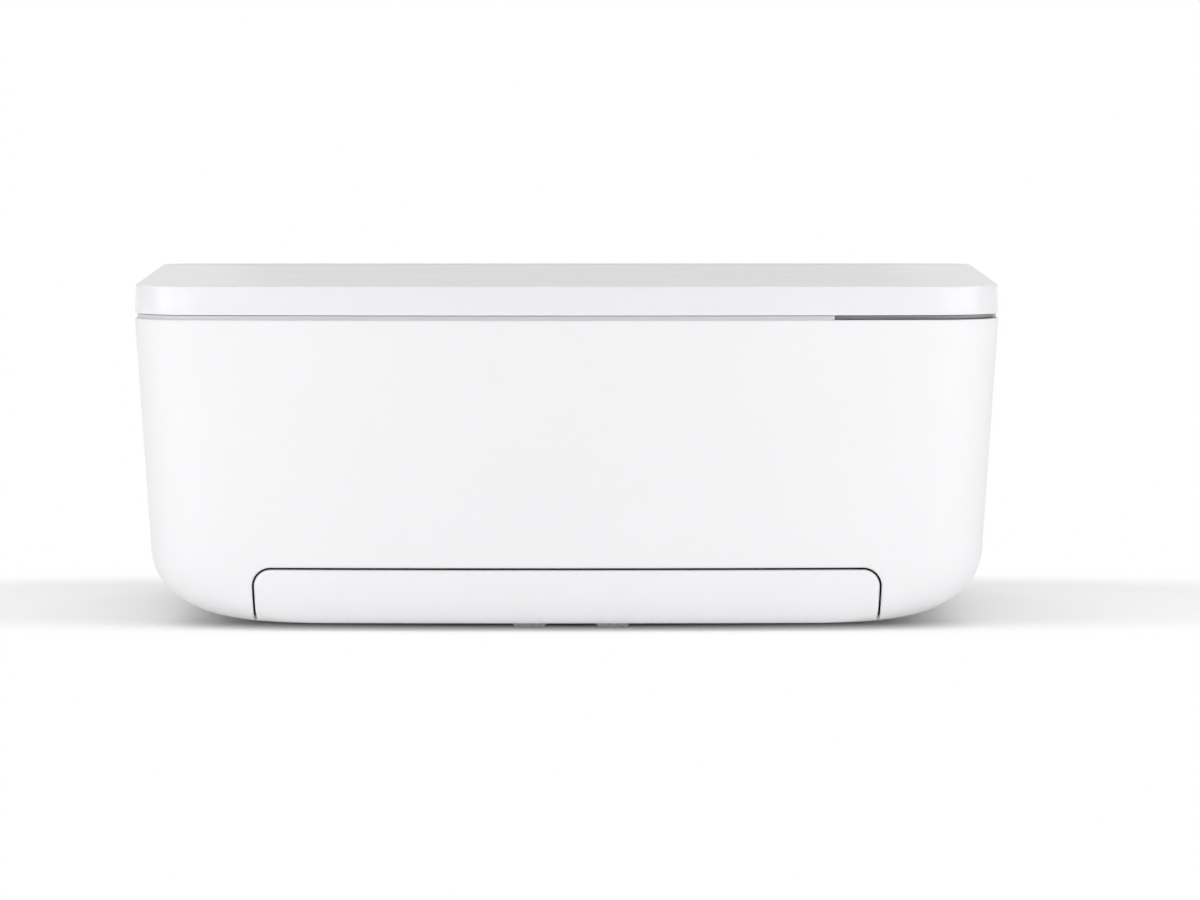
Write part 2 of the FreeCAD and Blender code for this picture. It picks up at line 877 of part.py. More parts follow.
def tyred_roller(shaft_radius, tyre_radius, y, z):
    shaft = rod_x(shaft_radius, gear_outer_x, frame_outer_x + 2 * gap, y, z)
    half = tyre_length / 2
    tyres = [rod_x(tyre_radius, x - half, x + half, y, z) for x in tyre_places()]
    return joined(shaft, *tyres)


def feed_roller():
    return tyred_roller(feed_shaft_radius, feed_radius, feed_y, feed_z)


def exit_roller():
    return tyred_roller(exit_shaft_radius, exit_radius, exit_y, exit_z)


def pinch_rollers():
    end = frame_outer_x + gap
    axle = rod_x(pinch_axle_radius, -end, end, feed_y, pinch_z)
    quarter = tyre_length / 4
    rollers = []
    for x in tyre_places():
        for side in (-quarter, quarter):
            x0 = x + side - quarter / 2
            rollers.append(rod_x(pinch_radius, x0, x0 + quarter, feed_y, pinch_z))
    return joined(axle, *rollers)


def star_wheels():
    end = frame_outer_x + gap
    axle = rod_x(star_axle_radius, -end, end, exit_y, star_z)
    first = -star_spacing * (star_count - 1) / 2
    wheels = []
    for index in range(star_count):
        x0 = first + index * star_spacing - star_width / 2
        wheels.append(rod_x(star_radius, x0, x0 + star_width, exit_y, star_z))
    return joined(axle, *wheels)


def platen():
    """Ribbed bed under the print heads, held at its left end by an arm to the side plate."""
    top = paper_z - platen_below_paper
    rib_foot = top - platen_rib_height
    low = top - platen_height
    front = (exit_y + feed_y - feed_radius + exit_radius - platen_depth) / 2
    rear = front + platen_depth
    bed = box(-platen_half_length, platen_half_length, front, rear, low, rib_foot)
    arm = box(-frame_half_width, -platen_half_length, front, front + platen_arm_depth, low, rib_foot)
    far = box(platen_half_length, station_left_x - gap, front, front + platen_arm_depth, low, rib_foot)
    count = int(platen_half_length // platen_rib_pitch)
    ribs = []
    for index in range(-count, count + 1):
        x0 = index * platen_rib_pitch - platen_rib_height / 2
        ribs.append(box(x0, x0 + platen_rib_height, front, rear, rib_foot, top))
    return joined(bed, arm, far, *ribs)


def paper_turn_guide():
    """Half-round guide that turns the sheet from the tray up to the feed roller."""
    outer = turn_radius + turn_wall
    half = platen_half_length
    ring = tube_x(outer, turn_radius, -half, half, turn_y, turn_z)
    ring = ring.common(box(-half, half, turn_y, turn_y + outer, turn_z - outer, turn_z + outer))
    stand = box(-half, half, turn_y, turn_y + outer, chassis_top_z, turn_z)
    stand = stand.cut(rod_x(turn_radius + turn_wall / 2, -half, half, turn_y, turn_z))
    return joined(ring, stand)


def pick_arm():
    end = rail_x + rail_thickness
    shaft = rod_x(pick_shaft_radius, -end, end, pick_y, pick_z)
    inner = pick_roller_width / 2 + gap
    outer = inner + pick_plate_thickness
    along = V(0, pick_roller_y - pick_y, pick_roller_z - pick_z)
    across = V(0, -along.z, along.y).normalize() * pick_hub_radius
    start = V(inner, pick_y, pick_z)
    points = [start + across, start + along + across * 0.8, start + along - across * 0.8, start - across]
    plate_piece = prism(points, V(pick_plate_thickness, 0, 0))
    hub = rod_x(pick_hub_radius, inner, outer, pick_y, pick_z)
    tip = rod_x(pick_hub_radius * 0.8, inner, outer, pick_roller_y, pick_roller_z)
    side = joined(plate_piece, hub, tip)
    axle = rod_x(pick_axle_radius, -outer, outer, pick_roller_y, pick_roller_z)
    return joined(shaft, side, mirrored(side), axle)


def pick_roller():
    half = pick_roller_width / 2
    bore = pick_axle_radius + running_fit
    return tube_x(pick_roller_radius, bore, -half, half, pick_roller_y, pick_roller_z)


def carriage_guide_rod():
    end = frame_outer_x + gap
    return rod_x(guide_rod_radius, -end, end, rod_y, guide_rod_z)


def bay_centers():
    middle = (carriage_width / 2 + carriage_wall / 2 - carriage_wall) / 2
    return carriage_park_x - middle, carriage_park_x + middle


def bay_width():
    return (carriage_width - 3 * carriage_wall) / 2


def snout_y():
    return (carriage_front_y + carriage_rear_y) / 2 - carriage_wall


def belt_clamp():
    """Jaw that holds the belt's lower run, open to the rear."""
    x0 = carriage_park_x - clamp_width / 2
    x1 = carriage_park_x + clamp_width / 2
    belt_low = belt_z - belt_inner_radius - belt_thickness
    belt_top = belt_z - belt_inner_radius
    belt_front = belt_y - belt_width / 2
    belt_rear = belt_y + belt_width / 2
    web_front = belt_front - gap - clamp_thickness
    arm_low = belt_low - gap - clamp_thickness
    low_jaw = box(x0, x1, carriage_rear_y - carriage_wall, belt_rear, arm_low, belt_low - gap)
    web = box(x0, x1, web_front, belt_front - gap, arm_low, belt_top + gap + clamp_thickness)
    top_jaw = box(x0, x1, web_front, belt_rear, belt_top + gap, belt_top + gap + clamp_thickness)
    return [low_jaw, web, top_jaw]


def carriage_lugs():
    lugs = []
    for side in (-lug_center, lug_center):
        x0 = carriage_park_x + side - lug_length / 2
        x1 = x0 + lug_length
        lugs.append(rod_x(lug_radius, x0, x1, rod_y, guide_rod_z))
        arm_low = guide_rod_z - guide_rod_radius
        arm_top = guide_rod_z + guide_rod_radius
        lugs.append(box(x0, x1, carriage_rear_y - carriage_wall, rod_y, arm_low, arm_top))
    return lugs


def latch_axis():
    y = carriage_rear_y - latch_ear_height / 2 - gap
    return y, carriage_top_z + latch_axis_rise


def latch_ears():
    axis_y, axis_z = latch_axis()
    half = latch_width / 2 + gap
    ears = []
    for center in bay_centers():
        for x0 in (center - half - latch_ear, center + half):
            rear = axis_y + latch_ear_height / 2
            top = axis_z + latch_ear_height / 2
            ears.append(box(x0, x0 + latch_ear, rear - latch_ear_height, rear, carriage_top_z - gap, top))
    return ears


def carriage_body():
    half = carriage_width / 2
    x0 = carriage_park_x - half
    x1 = carriage_park_x + half
    body = box(x0, x1, carriage_front_y, carriage_rear_y, carriage_low_z, carriage_top_z)
    front = carriage_front_y + carriage_wall
    rear = carriage_rear_y - carriage_wall
    floor = carriage_low_z + carriage_floor
    bay = bay_width() / 2
    cuts = []
    for center in bay_centers():
        cuts.append(box(center - bay, center + bay, front, rear, floor, carriage_top_z))
        half_x = snout_width / 2 + cartridge_room
        half_y = snout_depth / 2 + cartridge_room
        y = snout_y()
        cuts.append(box(center - half_x, center + half_x, y - half_y, y + half_y, carriage_low_z, floor))
    body = body.cut(cuts)
    foot_half = carriage_foot_width / 2
    foot_low = front_rail_z + frame_sheet + gap
    foot_front = exit_y - front_rail_width / 2
    foot = box(carriage_park_x - foot_half, carriage_park_x + foot_half, foot_front,
               carriage_front_y + carriage_wall / 2, foot_low, foot_low + carriage_foot_height)
    body = joined(body, foot, *(carriage_lugs() + belt_clamp() + latch_ears()))
    axis_y, axis_z = latch_axis()
    bores = [
        rod_x(guide_rod_radius + running_fit, x0, x1, rod_y, guide_rod_z),
        rod_x(latch_pin_radius + running_fit, x0, x1, axis_y, axis_z),
    ]
    return body.cut(bores)


def cartridge(center):
    half = bay_width() / 2 - cartridge_room
    front = carriage_front_y + carriage_wall + cartridge_room
    rear = carriage_rear_y - carriage_wall - cartridge_room
    low = carriage_low_z + carriage_floor
    tank = box(center - half, center + half, front, rear, low, carriage_top_z - cartridge_sink)
    half_x = snout_width / 2
    half_y = snout_depth / 2
    y = snout_y()
    snout = box(center - half_x, center + half_x, y - half_y, y + half_y, carriage_low_z, low)
    return joined(tank, snout)


def black_cartridge():
    return cartridge(bay_centers()[1])


def color_cartridge():
    return cartridge(bay_centers()[0])


def latch(center):
    axis_y, axis_z = latch_axis()
    half = latch_width / 2
    pin_end = half + gap + latch_ear
    barrel = rod_x(latch_barrel_radius, center - half, center + half, axis_y, axis_z)
    pin = rod_x(latch_pin_radius, center - pin_end, center + pin_end, axis_y, axis_z)
    low = axis_z - latch_thickness / 2
    front = carriage_front_y + carriage_wall
    flap = box(center - half, center + half, front, axis_y, low, low + latch_thickness)
    pad_half = latch_pad_width / 2
    pad_y = snout_y() - latch_pad_length / 2
    pad_low = carriage_top_z - cartridge_sink + gap
    pad = box(center - pad_half, center + pad_half, pad_y, pad_y + latch_pad_length, pad_low, low)
    return joined(barrel, pin, flap, pad)


def black_latch():
    return latch(bay_centers()[1])


def color_latch():
    return latch(bay_centers()[0])


def belt_loop(radius, y0, y1):
    """Stadium-shaped prism round both belt pulleys."""
    ends = [rod_y_along(radius, x, y0, y1, belt_z) for x in (-belt_pulley_x, belt_pulley_x)]
    middle = box(-belt_pulley_x, belt_pulley_x, y0, y1, belt_z - radius, belt_z + radius)
    return joined(middle, *ends)


def carriage_belt():
    y0 = belt_y - belt_width / 2
    y1 = belt_y + belt_width / 2
    outer = belt_loop(belt_inner_radius + belt_thickness, y0, y1)
    return outer.cut(belt_loop(belt_inner_radius, y0, y1))


def pulley(x):
    y0 = belt_y - belt_width / 2 - gap
    y1 = belt_y + belt_width / 2 + gap
    drum = rod_y_along(belt_pulley_radius, x, y0, y1, belt_z)
    front = rod_y_along(pulley_flange_radius, x, y0 - pulley_flange, y0, belt_z)
    rear = rod_y_along(pulley_flange_radius, x, y1, y1 + pulley_flange, belt_z)
    return joined(drum, front, rear)


def carriage_drive_pulley():
    start = belt_y - belt_width / 2
    shaft = rod_y_along(drive_shaft_radius, belt_pulley_x, start, engine_back_y + drive_shaft_depth, belt_z)
    return joined(pulley(belt_pulley_x), shaft)


def carriage_idler_pulley():
    bore = drive_shaft_radius + running_fit
    return pulley(-belt_pulley_x).cut(rod_y_along(bore, -belt_pulley_x, plate_front_y, rear_y, belt_z))


def carriage_motor():
    y0 = engine_back_y
    body = rod_y_along(carriage_motor_radius, belt_pulley_x, y0, y0 + carriage_motor_length, belt_z)
    bore = drive_shaft_radius + running_fit
    return body.cut(rod_y_along(bore, belt_pulley_x, y0, y0 + drive_shaft_depth + gap, belt_z))


def station_front_y():
    return (exit_y + feed_y - station_depth) / 2


def sled_low_z():
    return rail_top_z + station_floor + gap


def service_station_base():
    front = station_front_y()
    rear = front + station_depth
    right = frame_half_width
    top = rail_top_z + station_floor
    floor = box(station_left_x, right, front, rear, rail_top_z, top)
    walls = []
    for y0 in (front, rear - station_wall):
        walls.append(box(station_left_x, right, y0, y0 + station_wall, top, top + station_wall_height))
    return joined(floor, *walls)


def sled_front_y():
    return station_front_y() + station_wall + 2 * gap


def service_sled():
    middle = (station_left_x + frame_half_width) / 2
    half = (station_length - 2 * sled_end_room) / 2
    front = sled_front_y()
    low = sled_low_z()
    return box(middle - half, middle + half, front, front + sled_depth, low, low + sled_height)


def printhead_caps():
    """Open rubber cups that seal the two print heads at rest."""
    low = sled_low_z() + sled_height
    top = carriage_low_z - gap
    y = sled_front_y() + sled_depth / 2
    caps = []
    for center in bay_centers():
        half_x = cap_width / 2
        half_y = cap_depth / 2
        cup = box(center - half_x, center + half_x, y - half_y, y + half_y, low, top)
        half_x -= cap_wall
        half_y -= cap_wall
        well = box(center - half_x, center + half_x, y - half_y, y + half_y, (low + top) / 2, top)
        caps.append(cup.cut(well))
    return Part.makeCompound(caps)


def tray_front():
    panel = hull(0.0, round_top_z + tray_front_wall).common(tray_window(0.0, tray_back_y))
    return panel.cut(hull(tray_front_wall, rim_z))


def tray_trimmed(shape):
    """Front end cut to follow the inside of the tray front."""
    return shape.common(hull(tray_front_wall + tray_joint_gap, rim_z))


def tray_tub():
    half = tray_tub_half
    low = tray_floor_z
    floor = box(-half, half, front_y, tray_rear_y, low, low + tray_tub_floor)
    wall = box(half - tray_tub_wall, half, front_y, tray_rear_y, low, tub_wall_top_z)
    runner_x = half - tray_tub_wall - runner_width
    runner_front = tray_back_y
    runner = box(runner_x, runner_x + runner_width, runner_front, tray_rear_y, low - runner_height, low)
    side_low = low + side_runner_rise
    side_end = rail_x - gap
    side = box(half, side_end, tray_back_y, tray_rear_y, side_low, side_low + side_runner_height)
    pin_top = tray_paper_z + gap + guide_rack_height
    pin = rod_z(guide_pin_radius, 0, guide_pinion_y, low, pin_top)
    pieces = both_sides(wall) + both_sides(runner) + both_sides(side) + [pin]
    return tray_trimmed(joined(floor, *pieces))


def output_deck():
    half = tray_tub_half
    deck = box(-half, half, front_y, output_deck_rear_y, tub_wall_top_z, output_z)
    return tray_trimmed(deck)


def guide_rack():
    """Rack bar that lies on the tray floor, behind the guide pinion, and runs out to the right fence."""
    z = tray_paper_z + gap
    pitch_y = guide_pinion_y + pitch_radius(pinion_teeth)
    end = guide_travel + guide_rack_overrun
    outline_points = rack_points(-guide_rack_overrun, end, 0.0, guide_rack_back)
    points = [V(along, pitch_y - out, z) for along, out in outline_points]
    toothed = prism(points, V(0, 0, guide_rack_height))
    back_y = pitch_y + dedendum
    plain = box(end, paper_half_width, back_y, back_y + guide_rack_back, z, z + guide_rack_height)
    return joined(toothed, plain)


def rack_room():
    """Space in the right fence for the left guide's rack bar, which passes before the pinion."""
    z = tray_paper_z
    near = guide_pinion_y - pitch_radius(pinion_teeth) + addendum + seam
    far = guide_pinion_y - pitch_radius(pinion_teeth) - dedendum - guide_rack_back - seam
    reach = paper_half_width + guide_foot_width + seam
    return box(-reach, reach, far, near, z, z + gap + guide_rack_height + seam)


def width_guide(side):
    """Paper fence; side 1 is the right guide with its rack behind the pinion, -1 the left one."""
    z = tray_paper_z + gap
    top = tub_wall_top_z - guide_top_room
    y0 = guide_pinion_y - guide_length / 2
    y1 = guide_pinion_y + guide_length / 2
    fence = box(paper_half_width, paper_half_width + guide_thickness, y0, y1, z, top)
    foot = box(paper_half_width, paper_half_width + guide_foot_width, y0, y1, z, z + guide_rack_height)
    guide = joined(fence, foot)
    guide = joined(guide.cut(rack_room()), guide_rack())
    if side < 0:
        guide.rotate(V(0, guide_pinion_y, 0), Z_AXIS, 180)
    return guide


def right_width_guide():
    return width_guide(1)


def left_width_guide():
    return width_guide(-1)


def guide_pinion():
    z = tray_paper_z + gap
    phase = math.pi / 2 + math.pi / pinion_teeth
    points = [V(u, guide_pinion_y + v, z) for u, v in gear_points(pinion_teeth, phase)]
    gear = prism(points, V(0, 0, guide_rack_height))
    return gear.cut(rod_z(guide_pin_radius + running_fit, 0, guide_pinion_y, tray_floor_z, rim_z))


def length_guide():
    z = tray_paper_z + gap
    half = length_guide_width / 2
    y1 = front_y + length_guide_setback + guide_thickness
    fence = box(-half, half, y1 - guide_thickness, y1, z, tub_wall_top_z - guide_top_room)
    foot = box(-half, half, y1 - length_guide_foot, y1, z, z + guide_rack_height)
    return joined(fence, foot)


def power_supply():
    x0 = power_supply_x - power_supply_length / 2
    x1 = x0 + power_supply_length
    front = supply_rear_y - power_supply_depth
    return box(x0, x1, front, supply_rear_y, power_supply_z, power_supply_z + power_supply_height)


def ac_inlet():
    """Two-pin power socket with a figure-eight recess."""
    x = power_supply_x
    z = power_supply_z + power_supply_height / 2
    half = inlet_width / 2
    rise = inlet_height / 2
    block = box(x - half, x + half, supply_rear_y, rear_y, z - rise, z + rise)
    pocket_y = rear_y - inlet_pocket_depth
    pitch = inlet_pin_pitch / 2
    lobes = [rod_y_along(inlet_lobe_radius, x + side, pocket_y, rear_y, z) for side in (-pitch, pitch)]
    neck = inlet_lobe_radius * math.sqrt(0.5)
    lobes.append(box(x - pitch, x + pitch, pocket_y, rear_y, z - neck, z + neck))
    pin_end = rear_y - casing_wall
    pins = [rod_y_along(inlet_pin_radius, x + side, pocket_y, pin_end, z) for side in (-pitch, pitch)]
    return joined(block.cut(lobes), *pins)


def logic_board():
    right = board_left_x + board_width
    top = board_low_z + board_height
    board = box(board_left_x, right, board_y, board_y + board_thickness, board_low_z, top)
    half = switch_size / 2
    y0 = board_y + board_thickness
    switches = []
    for x in (power_button_x, wireless_button_x):
        switches.append(box(x - half, x + half, y0, y0 + switch_height, button_z - half, button_z + half))
    return joined(board, *switches)


def usb_port():
    half = usb_width / 2
    rise = usb_height / 2
    y0 = board_y + board_thickness
    shell = box(usb_x - half, usb_x + half, y0, rear_y, usb_z - rise, usb_z + rise)
    half -= usb_wall
    rise -= usb_wall
    return shell.cut(box(usb_x - half, usb_x + half, y0 + usb_wall, rear_y, usb_z - rise, usb_z + rise))


def rear_button(x):
    flange_rear = rear_y - casing_wall - gap
    flange_front = flange_rear - button_flange
    cap = rod_y_along(button_radius, x, flange_front, rear_y + button_stands_out, button_z)
    flange_radius = button_radius + gap + button_flange_width
    flange = rod_y_along(flange_radius, x, flange_front, flange_rear, button_z)
    stem_end = board_y + board_thickness + switch_height + button_travel + gap
    stem = rod_y_along(button_stem_radius, x, stem_end, flange_rear, button_z)
    return joined(cap, flange, stem)


def power_button():
    return rear_button(power_button_x)


def wireless_button():
    return rear_button(wireless_button_x)


def rear_door():
    top = door_low_z + door_height
    panel = box(-door_half_width, door_half_width, rear_y - casing_wall, rear_y, door_low_z, top)
    pin_end = door_half_width + seam + door_pin_length
    pins = door_pins(door_pin_radius, door_half_width - door_pin_length, pin_end)
    return joined(panel, *pins)


def deck_hinge_pins():
    return Part.makeCompound(deck_hinge("pin"))


def lid_hinge_pins():
    return Part.makeCompound(lid_hinge("pin"))


def grip_zone(inset):
    reach = half_width + seam
    back_y = front_y + grip_wrap - inset
    return box(grip_start_x + inset, reach, front_y - seam, back_y, rim_z - seam, lid_low_z)


def scanner_bezel():
    """Thin deck plate round the glass, with a rear skirt that carries both hinges."""
    top = rim_z + bezel_thickness
    bezel = plate(bezel_inset, rim_z, top)
    half_x = glass_length / 2 - glass_lap
    half_y = glass_width / 2 - glass_lap
    y = glass_center_y
    bezel = bezel.cut(box(-half_x, half_x, y - half_y, y + half_y, rim_z, top))
    inner_plate = plate(bezel_inset + grip_depth, rim_z - seam, lid_low_z)
    rim_band = plate(0.0, rim_z - seam, lid_low_z).cut(inner_plate)
    bezel = bezel.cut(rim_band.common(grip_zone(0.0)))
    rear = rear_y - bezel_inset
    length = skirt_half_length
    skirt = box(-length, length, rear - skirt_thickness, rear, deck_hinge_z, rim_z)
    bezel = joined(bezel, skirt)
    bezel = bezel.cut(deck_hinge("outer_room") + lid_hinge("middle_room"))
    bezel = bezel.fuse(deck_hinge("middle") + lid_hinge("outer"))
    return bezel.cut(deck_hinge("bore") + lid_hinge("bore"))


def lid_grip_insert():
    """Dark strip at the back of the finger recess under the lid's front corner."""
    outer = plate(bezel_inset + grip_insert_setback, rim_z, rim_z + bezel_thickness)
    strip = outer.cut(plate(bezel_inset + grip_depth - gap, rim_z, rim_z + bezel_thickness))
    return strip.common(grip_zone(gap))


def scanner_glass():
    half_x = glass_length / 2
    half_y = glass_width / 2
    y = glass_center_y
    return box(-half_x, half_x, y - half_y, y + half_y, rim_z - glass_thickness, rim_z)


def scan_pinion_ends():
    rear = scan_bar_front_y - scan_motor_length - gap
    return rear - scan_pinion_width, rear


def scan_rack():
    half = tub_half_length - tub_wall
    pitch_z = scan_floor_z + rack_base + dedendum
    y, rear = scan_pinion_ends()
    outline_points = rack_points(-half, half, scan_home_x, rack_base + tub_wall / 2)
    points = [V(along, y, pitch_z + out) for along, out in outline_points]
    return prism(points, V(0, rear - y, 0))


def scanner_tub():
    half = tub_half_length
    low = rim_z - tub_depth
    tub = box(-half, half, tub_front_y, tub_rear_y, low, rim_z)
    inner = half - tub_wall
    room = box(-inner, inner, tub_front_y + tub_wall, tub_rear_y - tub_wall, scan_floor_z, rim_z)
    return joined(tub.cut(room), scan_rack())


def scan_guide_rod():
    inner = tub_half_length - tub_wall
    return rod_x(scan_rod_radius, -inner, inner, scan_rod_y, scan_floor_z + scan_rod_rise)


def scan_bar():
    half = scan_bar_width / 2
    x = scan_home_x
    low = scan_bar_top_z - scan_bar_height
    bar = box(x - half, x + half, scan_bar_front_y, scan_bar_front_y + scan_bar_length, low, scan_bar_top_z)
    lug_half = scan_lug_length / 2
    lug_low = scan_floor_z + gap
    lug = box(x - half, x + half, scan_rod_y - lug_half, scan_rod_y + lug_half, lug_low, low)
    bore = scan_rod_radius + running_fit
    rod_hole = rod_x(bore, x - half, x + half, scan_rod_y, scan_floor_z + scan_rod_rise)
    return joined(bar, lug).cut(rod_hole)


def scan_motor():
    y1 = scan_bar_front_y
    y0 = y1 - scan_motor_length
    body = rod_y_along(scan_motor_radius, scan_home_x, y0, y1, scan_pinion_z)
    bore = drive_shaft_radius + running_fit
    return body.cut(rod_y_along(bore, scan_home_x, y0, y0 + drive_shaft_depth + gap, scan_pinion_z))


def scan_pinion():
    y0, y1 = scan_pinion_ends()
    phase = -math.pi / 2 + math.pi / pinion_teeth
    points = [V(scan_home_x + u, y0, scan_pinion_z + v) for u, v in gear_points(pinion_teeth, phase)]
    gear = prism(points, V(0, y1 - y0, 0))
    shaft = rod_y_along(drive_shaft_radius, scan_home_x, y0, y1 + gap + drive_shaft_depth, scan_pinion_z)
    return joined(gear, shaft)


def edges_at(shape, z):
    low = z - 1e-6
    high = z + 1e-6
    return [edge for edge in shape.Edges if edge.BoundBox.ZMin > low and edge.BoundBox.ZMax < high]


def lid_shell():
    block = Part.makeLoft([plan(lid_low_z, 0.0), plan(lid_top_z, lid_taper)], True, True)
    block = block.makeFillet(lid_top_edge, edges_at(block, lid_top_z))
    block = block.makeFillet(lid_bottom_edge, edges_at(block, lid_low_z))
    shell = block.cut(plate(lid_wall + lid_taper, lid_low_z, lid_top_z - lid_top_wall))
    shell = shell.cut(lid_hinge("outer_room"))
    return shell.fuse(lid_hinge("middle")).cut(lid_hinge("bore"))


def liner_low_z():
    return lid_hinge_z + knuckle_radius + gap


def lid_liner():
    low = liner_low_z()
    return plate(lid_wall + lid_taper + gap, low, low + lid_liner_thickness)


def lid_pad():
    half_x = glass_length / 2 - glass_lap - pad_clearance
    half_y = glass_width / 2 - glass_lap - pad_clearance
    y = glass_center_y
    return box(-half_x, half_x, y - half_y, y + half_y, rim_z + gap, liner_low_z())


PIECES = [
    outer_casing, rubber_feet, edge_light_lenses, base_chassis, inner_deck,
    engine_frame, carriage_guide_rod, platen, paper_turn_guide, feed_motor, carriage_motor, carriage_belt,
    service_station_base, power_supply, ac_inlet, logic_board, usb_port, deck_hinge_pins,
    scanner_bezel, scanner_tub, scanner_glass, scan_guide_rod, lid_grip_insert, lid_hinge_pins,
    scan_bar, scan_motor, scan_pinion,
    lid_shell, lid_liner, lid_pad,
    carriage_body, black_cartridge, color_cartridge, black_latch, color_latch,
    carriage_drive_pulley, carriage_idler_pulley,
    feed_roller, feed_gear, exit_roller, exit_gear, idler_gear, motor_pinion, pinch_rollers, star_wheels,
    pick_arm, pick_roller, service_sled, printhead_caps,
    tray_front, tray_tub, output_deck, left_width_guide, right_width_guide, guide_pinion, length_guide,
    rear_door, power_button, wireless_button,
]


def main():
    os.makedirs("parts", exist_ok=True)
    for piece in PIECES:
        shape = piece()
        name = piece.__name__
        if not shape.isValid():
            raise ValueError(name + " is not a valid shape")
        shape.exportStep("parts/" + name + ".step")
        print(name, len(shape.Solids), round(shape.Volume))


main()
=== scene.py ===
import bmesh
import bpy
import json
import math
from mathutils import Matrix, Vector


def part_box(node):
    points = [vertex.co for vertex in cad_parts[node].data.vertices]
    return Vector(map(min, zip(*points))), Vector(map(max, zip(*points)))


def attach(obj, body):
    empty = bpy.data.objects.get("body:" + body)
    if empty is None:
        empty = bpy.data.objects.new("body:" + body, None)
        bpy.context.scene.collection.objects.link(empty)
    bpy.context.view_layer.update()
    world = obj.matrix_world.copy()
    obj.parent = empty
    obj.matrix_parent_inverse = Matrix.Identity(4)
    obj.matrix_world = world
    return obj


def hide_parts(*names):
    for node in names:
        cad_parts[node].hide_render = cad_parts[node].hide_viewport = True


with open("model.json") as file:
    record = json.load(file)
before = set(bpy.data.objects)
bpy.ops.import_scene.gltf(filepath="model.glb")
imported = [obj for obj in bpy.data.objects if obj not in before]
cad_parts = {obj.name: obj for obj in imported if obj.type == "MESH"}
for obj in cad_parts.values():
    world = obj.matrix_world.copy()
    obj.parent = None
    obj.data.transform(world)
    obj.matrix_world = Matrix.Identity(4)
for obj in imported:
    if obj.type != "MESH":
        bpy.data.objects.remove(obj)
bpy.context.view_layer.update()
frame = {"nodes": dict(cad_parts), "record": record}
nodes = frame["nodes"]
record = frame["record"]
slotOf = {part["node"]: part["material_slot"] for part in record["subparts"]}
bodyOf = {name: body for body, names in record["behaviour"]["bodies"].items() for name in names}
scene = bpy.context.scene
scene.view_settings.view_transform = "Standard"
perMetre = 1000  # shapes are drawn in millimetres
quarter = math.pi / 2
print("frame loaded:", len(nodes), "nodes")


# shader maths: a wire is an output socket that takes part in plain arithmetic
class Wire:
    def __init__(self, finish, socket):
        self.finish = finish
        self.socket = socket

    def maths(self, operation, *values):
        return self.finish.node("ShaderNodeMath", {"operation": operation}, dict(enumerate(values)))

    def __add__(self, other):
        return self.maths("ADD", self, other)

    def __sub__(self, other):
        return self.maths("SUBTRACT", self, other)

    def __rsub__(self, other):
        return self.maths("SUBTRACT", other, self)

    def __mul__(self, other):
        return self.maths("MULTIPLY", self, other)

    def __or__(self, other):
        return self.maths("MAXIMUM", self, other)

    __radd__ = __add__
    __rmul__ = __mul__
    __ror__ = __or__


class Finish:
    def __init__(self, name, tree=None):
        if tree is None:
            self.material = bpy.data.materials.new(name)
            self.material.use_nodes = True
            tree = self.material.node_tree
        self.tree = tree
        self.tree.nodes.clear()

    def node(self, kind, settings=None, sockets=None, output=0):
        # settings come first, then the values or links of the sockets
        made = self.tree.nodes.new(kind)
        for key, value in (settings or {}).items():
            setattr(made, key, value)
        for key, value in (sockets or {}).items():
            if isinstance(value, Wire):
                self.tree.links.new(value.socket, made.inputs[key])
            else:
                made.inputs[key].default_value = value
        return Wire(self, made.outputs[output]) if made.outputs else None

    def wires(self, kind, names, sockets=None):
        # several outputs of one node
        outputs = self.node(kind, {}, sockets).socket.node.outputs
        return [Wire(self, outputs[name]) for name in names]

    def place(self, mapping=None):
        spot = self.node("ShaderNodeTexCoord", output="Object")
        return self.node("ShaderNodeMapping", {}, {"Vector": spot, **(mapping or {})})

    def noise(self, size, detail=2.0, stretch=(1, 1, 1), falloff=0.55):
        spot = self.place({"Scale": stretch})
        return self.node("ShaderNodeTexNoise", {}, {
            "Vector": spot, "Scale": 1 / size, "Detail": detail, "Roughness": falloff})

    def cells(self, size):
        return self.node("ShaderNodeTexVoronoi", {}, {"Vector": self.place(), "Scale": 1 / size})

    def swing(self, noise, width):
        # a noise spread evenly about zero
        return (noise - 0.5) * width

    def blend(self, share, first, second):
        return self.node("ShaderNodeMix", {"data_type": "RGBA"}, {0: share, 6: first, 7: second}, output=2)

    def bump(self, height, strength, depth):
        return self.node("ShaderNodeBump", {}, {"Height": height, "Strength": strength, "Distance": depth})

    def ramp(self, value, span, low=0.0, high=1.0):
        return self.node("ShaderNodeMapRange", {"interpolation_type": "SMOOTHSTEP"}, {
            "Value": value, "From Min": span[0], "From Max": span[1], "To Min": low, "To Max": high})

    def surface(self, sockets):
        return self.close(self.node("ShaderNodeBsdfPrincipled", {}, sockets))

    def close(self, shader):
        self.node("ShaderNodeOutputMaterial", {}, {"Surface": shader})
        return self.material


def rgb(colour, shift=0.0):
    return tuple(min(1.0, max(0.0, part + shift)) for part in colour) + (1.0,)


